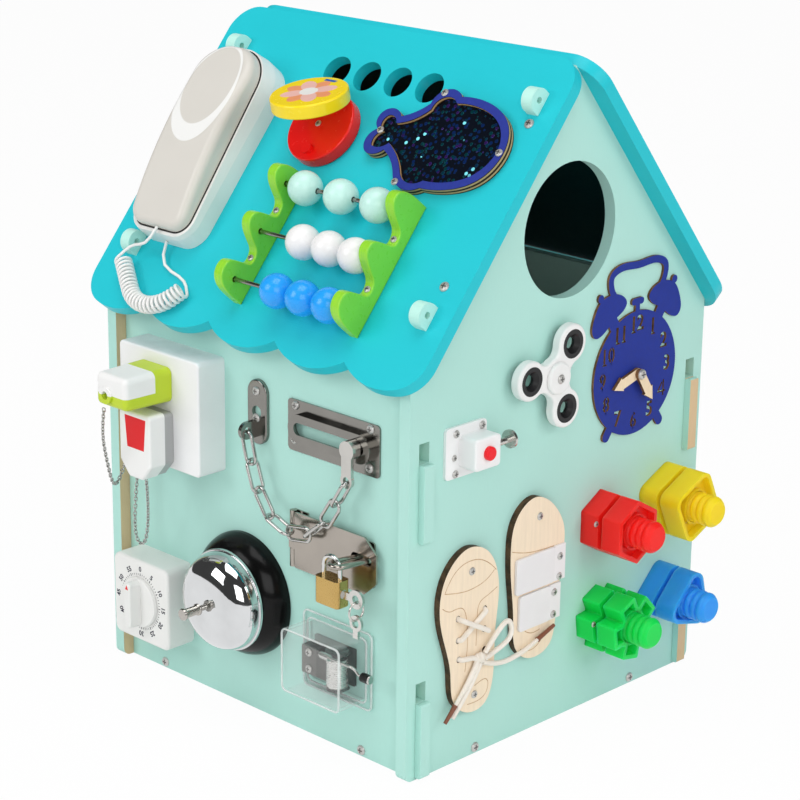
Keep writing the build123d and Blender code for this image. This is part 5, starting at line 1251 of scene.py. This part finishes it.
def even_steps(places, pitch):
    """Pairs of neighbouring points an even distance apart along a line."""
    steps = [places[0]]
    left = pitch
    for start, end in zip(places, places[1:]):
        span = (end - start).length
        while span >= left:
            start = start + (end - start) * (left / span)
            steps.append(start)
            span -= left
            left = pitch
        left -= span
    return list(zip(steps, steps[1:]))


def add_ring(bm, spots, aways, side_way, wire, sides):
    """A closed ring of round wire through spots, each with its way outwards."""
    turns = [math.tau * side / sides for side in range(sides)]
    rows = []
    for spot, away in zip(spots, aways):
        section = [(away * math.cos(turn) + side_way * math.sin(turn)) * (wire / 2 * mm) for turn in turns]
        rows.append([bm.verts.new(spot + offset) for offset in section])
    for first, second in zip(rows, rows[1:] + rows[:1]):
        for side in range(sides):
            beyond = (side + 1) % sides
            bm.faces.new((first[side], first[beyond], second[beyond], second[side]))


def add_link(bm, place, length, width, wire, around=10, sides=5):
    """An oval ring of round wire, lying along the place's Z."""
    straight = (length - width) / 2
    bow = (width - wire) / 2
    spots = []
    aways = []
    for step in range(around):
        angle = math.tau * step / around
        away = Vector((math.cos(angle), 0, math.sin(angle)))
        end = Vector((0, 0, straight if 2 * step < around else -straight))
        spots.append(place @ ((away * bow + end) * mm))
        aways.append(place.to_3x3() @ away)
    add_ring(bm, spots, aways, place.to_3x3() @ Vector((0, 1, 0)), wire, sides)


def chain_piece(name, bm, crisp):
    """A chain of links, which takes its finish from the steel."""
    smooth_faces(bm, crisp)
    made = new_mesh_object(name, bm)
    made.data.materials.append(link_nickel)
    return made


link_nickel = plated("link_nickel", (0.56, 0.55, 0.53), 0.16)
dress(moulded("socket_white_plastic", (0.86, 0.865, 0.87), 0.22), "socket_box")
dress(green_fob_finish("green_fob_plastic"), "plug_green")
dress(red_fob_finish("red_fob_plastic"), "plug_red")
for fob, route in fob_routes.items():
    links_bm = bmesh.new()
    for number, (start, end) in enumerate(even_steps(route_points(route), fob_pitch)):
        turn = Matrix.Rotation(math.pi / 4 + math.pi / 2 * (number % 2), 4, "Z")
        add_link(links_bm, toward((start + end) / 2, end) @ turn, fob_link, fob_link_width, fob_wire)
    bmesh.ops.recalc_face_normals(links_bm, faces=links_bm.faces)
    fob_chain = chain_piece(fob + "_chain", links_bm, 180)
    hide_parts("plug_chains")
    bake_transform(fob_chain)

# Door chain: an end plate and a slotted track of dark nickel-plated steel, a
# slider with a knob, and eight welded links between them. Both plates are
# screwed to the front wall.
chain_screws = [(0.0, 237.0, 3.0), (0.0, 218.0, 3.0)]
track_screws = [(36.8, 235.1, 1.2), (107.5, 235.3, 1.2), (35.8, 211.0, 1.2), (106.8, 208.5, 1.2)]
dress(plated("chain_plate_nickel", (0.28, 0.27, 0.25), 0.16, (1, 1, 12)), "chain_plates")
dress(plated("slider_nickel", (0.62, 0.605, 0.575), 0.18), "chain_slider")
links = chain_piece("door_chain_links", joined_copy("door_chain"), 50)
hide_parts("door_chain")
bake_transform(links)
screw_set("chain_screws", [on_front(*place) for place in chain_screws + track_screws], 6.2, 1.5)

# Hasp and padlock: pressed nickel-plated hasp over a staple, closed by a
# small brass padlock with its key and a key ring.
dress(plated("hasp_nickel", (0.44, 0.40, 0.355), 0.17, (12, 1, 1)), "hasp_base", "hasp_leaf")
dress(plated("shackle_steel", (0.74, 0.74, 0.73), 0.12), "padlock_shackle")
dress(plated("padlock_brass", (0.60, 0.40, 0.14), 0.24, (30, 1, 1)), "padlock_body")
dress(plated("key_nickel", (0.70, 0.69, 0.66), 0.2), "padlock_key", "key_ring")

# Call bell: chromed steel dome over a black plastic foot, with a nickel-plated
# plunger like a small ribbed spool in the middle.
bell_x = -14.2
bell_z = 86.0
bell_apex = 41.0
bell_tip = 60.0
rib_foot = 47.2
rib_pitch = 1.3
ribs = 8
foot_gloss = {"coat_weight": 0.08, "coat_roughness": 0.03, "specular_ior_level": 0.14}
dress(plated("bell_chrome", (0.72, 0.73, 0.74), 0.05, (1, 1, 1), 0.03), "bell_dome")
dress(moulded("bell_black_plastic", (0.004, 0.004, 0.004), 0.14, **foot_gloss), "bell_base")
spool = [(0, bell_apex), (2.0, bell_apex), (2.0, 44.6), (3.9, 44.9), (4.2, 45.4), (4.2, 46.5), (3.3, 47.0)]
for rib in range(ribs):
    foot = rib_foot + rib * rib_pitch
    spool += [(2.9, foot), (3.3, foot + 0.3), (3.3, foot + rib_pitch - 0.5), (2.9, foot + rib_pitch - 0.2)]
spool += [(3.3, 57.8), (4.2, 58.1), (4.3, 58.9), (3.8, bell_tip - 0.2), (2.6, bell_tip), (0, bell_tip)]
spool_bm = bmesh.new()
turned_piece(spool_bm, spool, on_front(bell_x, bell_z), 32)
spool_nickel = plated("spool_nickel", (0.50, 0.475, 0.44), 0.14)
bell_spool = finish_piece("bell_spool", spool_bm, [spool_nickel], "body_bell_plunger")
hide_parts("bell_plunger")

# Kitchen timer: white moulded case with a printed minute ring, and a round
# knob with a grip bar and a red mark, turning on the case.
timer_x = -102.0
timer_z = 59.5
timer_face = 24.0
number_ring = 24.6
number_size = 5.2
number_bold = 0.03
tick_ring = 20.6
five_tick = (0.6, 2.0)
minute_tick = (0.4, 1.3)
ink = 0.12
mark_corners = [(-1.7, 12.6), (1.7, 12.6), (0, 16.2)]
dress(moulded("timer_white_plastic", (0.84, 0.84, 0.82), 0.3), "timer_case", "timer_knob")
ring_bm = bmesh.new()
for minute in range(60):
    turned = on_front(timer_x, timer_z, timer_face) @ Matrix.Rotation(-math.tau * minute / 60, 4, "Z")
    on_five = minute % 5 == 0
    add_block(ring_bm, turned @ moved(0, tick_ring), *(five_tick if on_five else minute_tick), ink)
    if on_five:
        add_word(ring_bm, turned @ moved(0, number_ring), str(minute), number_size, ink, number_bold)
navy_ink = moulded("timer_navy_ink", (0.012, 0.014, 0.035), 0.45)
finish_piece("timer_minutes", ring_bm, [navy_ink], "house")
knob_top = (-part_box("timer_knob")[0].y - wall_face) / mm
mark_bm = bmesh.new()
flat_shape(mark_bm, on_front(timer_x, timer_z, knob_top), mark_corners, ink / 2, paint_depth)
red_ink = moulded("timer_red_ink", (0.80, 0.03, 0.03), 0.4)
finish_piece("timer_red_mark", mark_bm, [red_ink], "body_timer_knob")

# Music box: a clear case with flanges, and inside it a steel comb on a dark
# block and a pinned drum, driven by a bent crank through a worm.
drum_x = 87.0
drum_z = 61.5
drum_out = 11.0
drum_radius = 7.0
drum_length = 20.0
comb_root = 67.8
comb_top = 11.8
comb_teeth = 18
comb_pitch = drum_length * mm / comb_teeth
comb_screws = [(60.8, 55.5), (60.8, 67.5)]
bed_middle = (75.5, 63.5)
bed_half = (19.5, 13.5)
bed_top = 2.0 * mm
pin_rows = 18
pins_a_row = 7
pin_size = (0.9, 0.35, 0.35)
pin_seed = 7
grip_start = 117.4 * mm
grip_end = 124.4 * mm
rib_step = 1.3 * mm
case_middle = (78.0, 64.5)
case_edges = [(27.5, 22.5, 4.0, 27.2), (28.3, 23.3, 4.2, 2.4), (32.7, 27.7, 4.0, 1.7)]
edge_wire = 1.6
corner_steps = 6
black_iron = (0.012, 0.012, 0.012)


def clear_finish(name):
    """Clear polystyrene: hardly seen face on, and pale where it is seen along, a painted reflection at its
    rims.
    """
    material, place = new_finish(name, roughness=0.06, specular_ior_level=0.5)
    rim_light = place.node("LayerWeight", None, {"Blend": 0.35}, "Facing").ramp(0.3, 0.95)
    haze = blotches(place, 50)
    tone = haze.tint((0.86, 0.91, 0.90), (0.93, 0.96, 0.95))
    return lay_on(material, tone, Alpha=rim_light * 0.55 + 0.035 + 0.02 * haze)


def bright_edge_finish(name):
    """Pale rings on the moulded edges of the clear case: painted highlights where light gathers."""
    material, place = new_finish(name, roughness=0.08)
    haze = blotches(place, 60)
    return lay_on(material, haze.tint((0.84, 0.90, 0.89), (0.94, 0.97, 0.96)), Alpha=0.36 + 0.22 * haze)


def movement_finish(name):
    """Dark plate and block on a clear base, below a steel comb whose teeth are cut apart by slits: grooves
    coloured with painted shade.
    """
    material, place = new_finish(name, metallic=1.0)
    out = along(place, (0, -1, 0), wall_face)
    comb = out.ramp((comb_top - 1.5) * mm, (comb_top - 1.4) * mm)
    saw = along(place, (0, 0, 1 / comb_pitch), (drum_z - drum_length / 2) * mm / comb_pitch).math("FRACT")
    gap = (1.0 - saw.ramp(0.1, 0.2)) + saw.ramp(0.8, 0.9)
    slits_groove_and_shade = gap * along(place, (1, 0, 0), comb_root * mm).ramp(0.0, 0.1 * mm)
    # Painted shade: the slits between the teeth are coloured near black.
    steel = slits_groove_and_shade.tint((0.22, 0.215, 0.205), (0.03, 0.03, 0.03))
    cast = blotches(place, 90, 3.0)
    block = cast.tint((0.05, 0.05, 0.052), (0.08, 0.08, 0.08))
    past_x = along(place, (1, 0, 0), bed_middle[0] * mm).math("ABSOLUTE") - bed_half[0] * mm
    past_z = along(place, (0, 0, 1), bed_middle[1] * mm).math("ABSOLUTE") - bed_half[1] * mm
    on_bed = 1.0 - out.ramp(bed_top, bed_top + 0.05 * mm)
    clear = past_x.math("MAXIMUM", past_z).ramp(0.0, 0.05 * mm) * on_bed
    relief = cast * 0.2 - slits_groove_and_shade
    return lay_on(
        material, comb.tint(block, steel), 0.34 + 0.12 * cast, relief, 0.3, 0.5, Alpha=1.0 - clear * 0.96
    )


def drum_finish(name):
    """Bright drum with fine turned rings between dark gears."""
    material, place = new_finish(name, metallic=1.0)
    half = drum_length / 2
    height = along(place, (0, 0, 1), drum_z * mm).math("ABSOLUTE")
    gear = height.ramp((half + 0.02) * mm, (half + 0.06) * mm)
    rings = stretched_noise(place, 500, (0.1, 0.1, 4), 3.0).ramp(0.3, 0.7)
    steel = rings.tint((0.60, 0.59, 0.57), (0.74, 0.73, 0.71))
    return lay_on(material, gear.tint(steel, (0.10, 0.10, 0.10)), 0.2 + 0.15 * rings, rings, 0.05, 0.4)


def crank_finish(name):
    """Bent steel wire with a ribbed black grip and a bright end."""
    material, place = new_finish(name)
    x = along(place, (1, 0, 0))
    grip = x.ramp(grip_start, grip_start + 0.05 * mm) * (1.0 - x.ramp(grip_end, grip_end + 0.1 * mm))
    grooves = (x * (1 / rib_step)).math("FRACT").ramp(0.4, 0.6)
    wear = blotches(place, 120, 3.0)
    colour = grip.tint(wear.tint((0.55, 0.54, 0.52), (0.66, 0.65, 0.63)), black_iron)
    roughness = 0.2 + 0.15 * grip + 0.05 * wear
    return lay_on(material, colour, roughness, grooves * grip, 0.4, 0.6, Metallic=1.0 - grip)


def rounded_loop(half_x, half_z, corner, out):
    """Points round a rectangle with round corners, on the front wall."""
    loop = []
    for quarter, (x_side, z_side) in enumerate([(1, 1), (-1, 1), (-1, -1), (1, -1)]):
        for step in range(corner_steps + 1):
            angle = math.pi / 2 * (quarter + step / corner_steps)
            x = case_middle[0] + x_side * (half_x - corner) + corner * math.cos(angle)
            z = case_middle[1] + z_side * (half_z - corner) + corner * math.sin(angle)
            loop.append(on_front(x, z, out).translation)
    return loop


dress(clear_finish("clear_case_plastic"), "music_case")
out_way = Vector((0, -1, 0))
# Pale half-clear rings along the case's edges are painted highlights for the light that gathers in the
# moulded edges.
edges_bm = bmesh.new()
for edge_sizes in case_edges:
    loop = rounded_loop(*edge_sizes)
    runs = [after - before for before, after in zip(loop[-1:] + loop[:-1], loop[1:] + loop[:1])]
    add_ring(edges_bm, loop, [run.normalized().cross(out_way) for run in runs], out_way, edge_wire, 6)
edge_highlight = bright_edge_finish("clear_edge_highlight")
finish_piece("music_case_edge_highlights", edges_bm, [edge_highlight], "house", 60)

dress(movement_finish("movement_metal"), "music_movement")
screw_set("comb_screws", [on_front(*place, comb_top) for place in comb_screws], 5.6, 1.4)
dress(drum_finish("drum_steel"), "music_drum")
dress(crank_finish("crank_metal"), "music_crank")
pins_bm = bmesh.new()
chance = random.Random(pin_seed)
drum_axis = stand((drum_x * mm, -wall_face - drum_out * mm, drum_z * mm), (1, 0, 0), (0, 0, 1))
for row in range(pin_rows):
    height = (row + 0.5) / pin_rows * drum_length - drum_length / 2
    for pin in range(pins_a_row):
        turned = drum_axis @ Matrix.Rotation(chance.uniform(0, math.tau), 4, "Z")
        add_block(pins_bm, turned @ moved(drum_radius, 0, height), *pin_size)
finish_piece("drum_pins", pins_bm, [link_nickel], "body_music_drum")
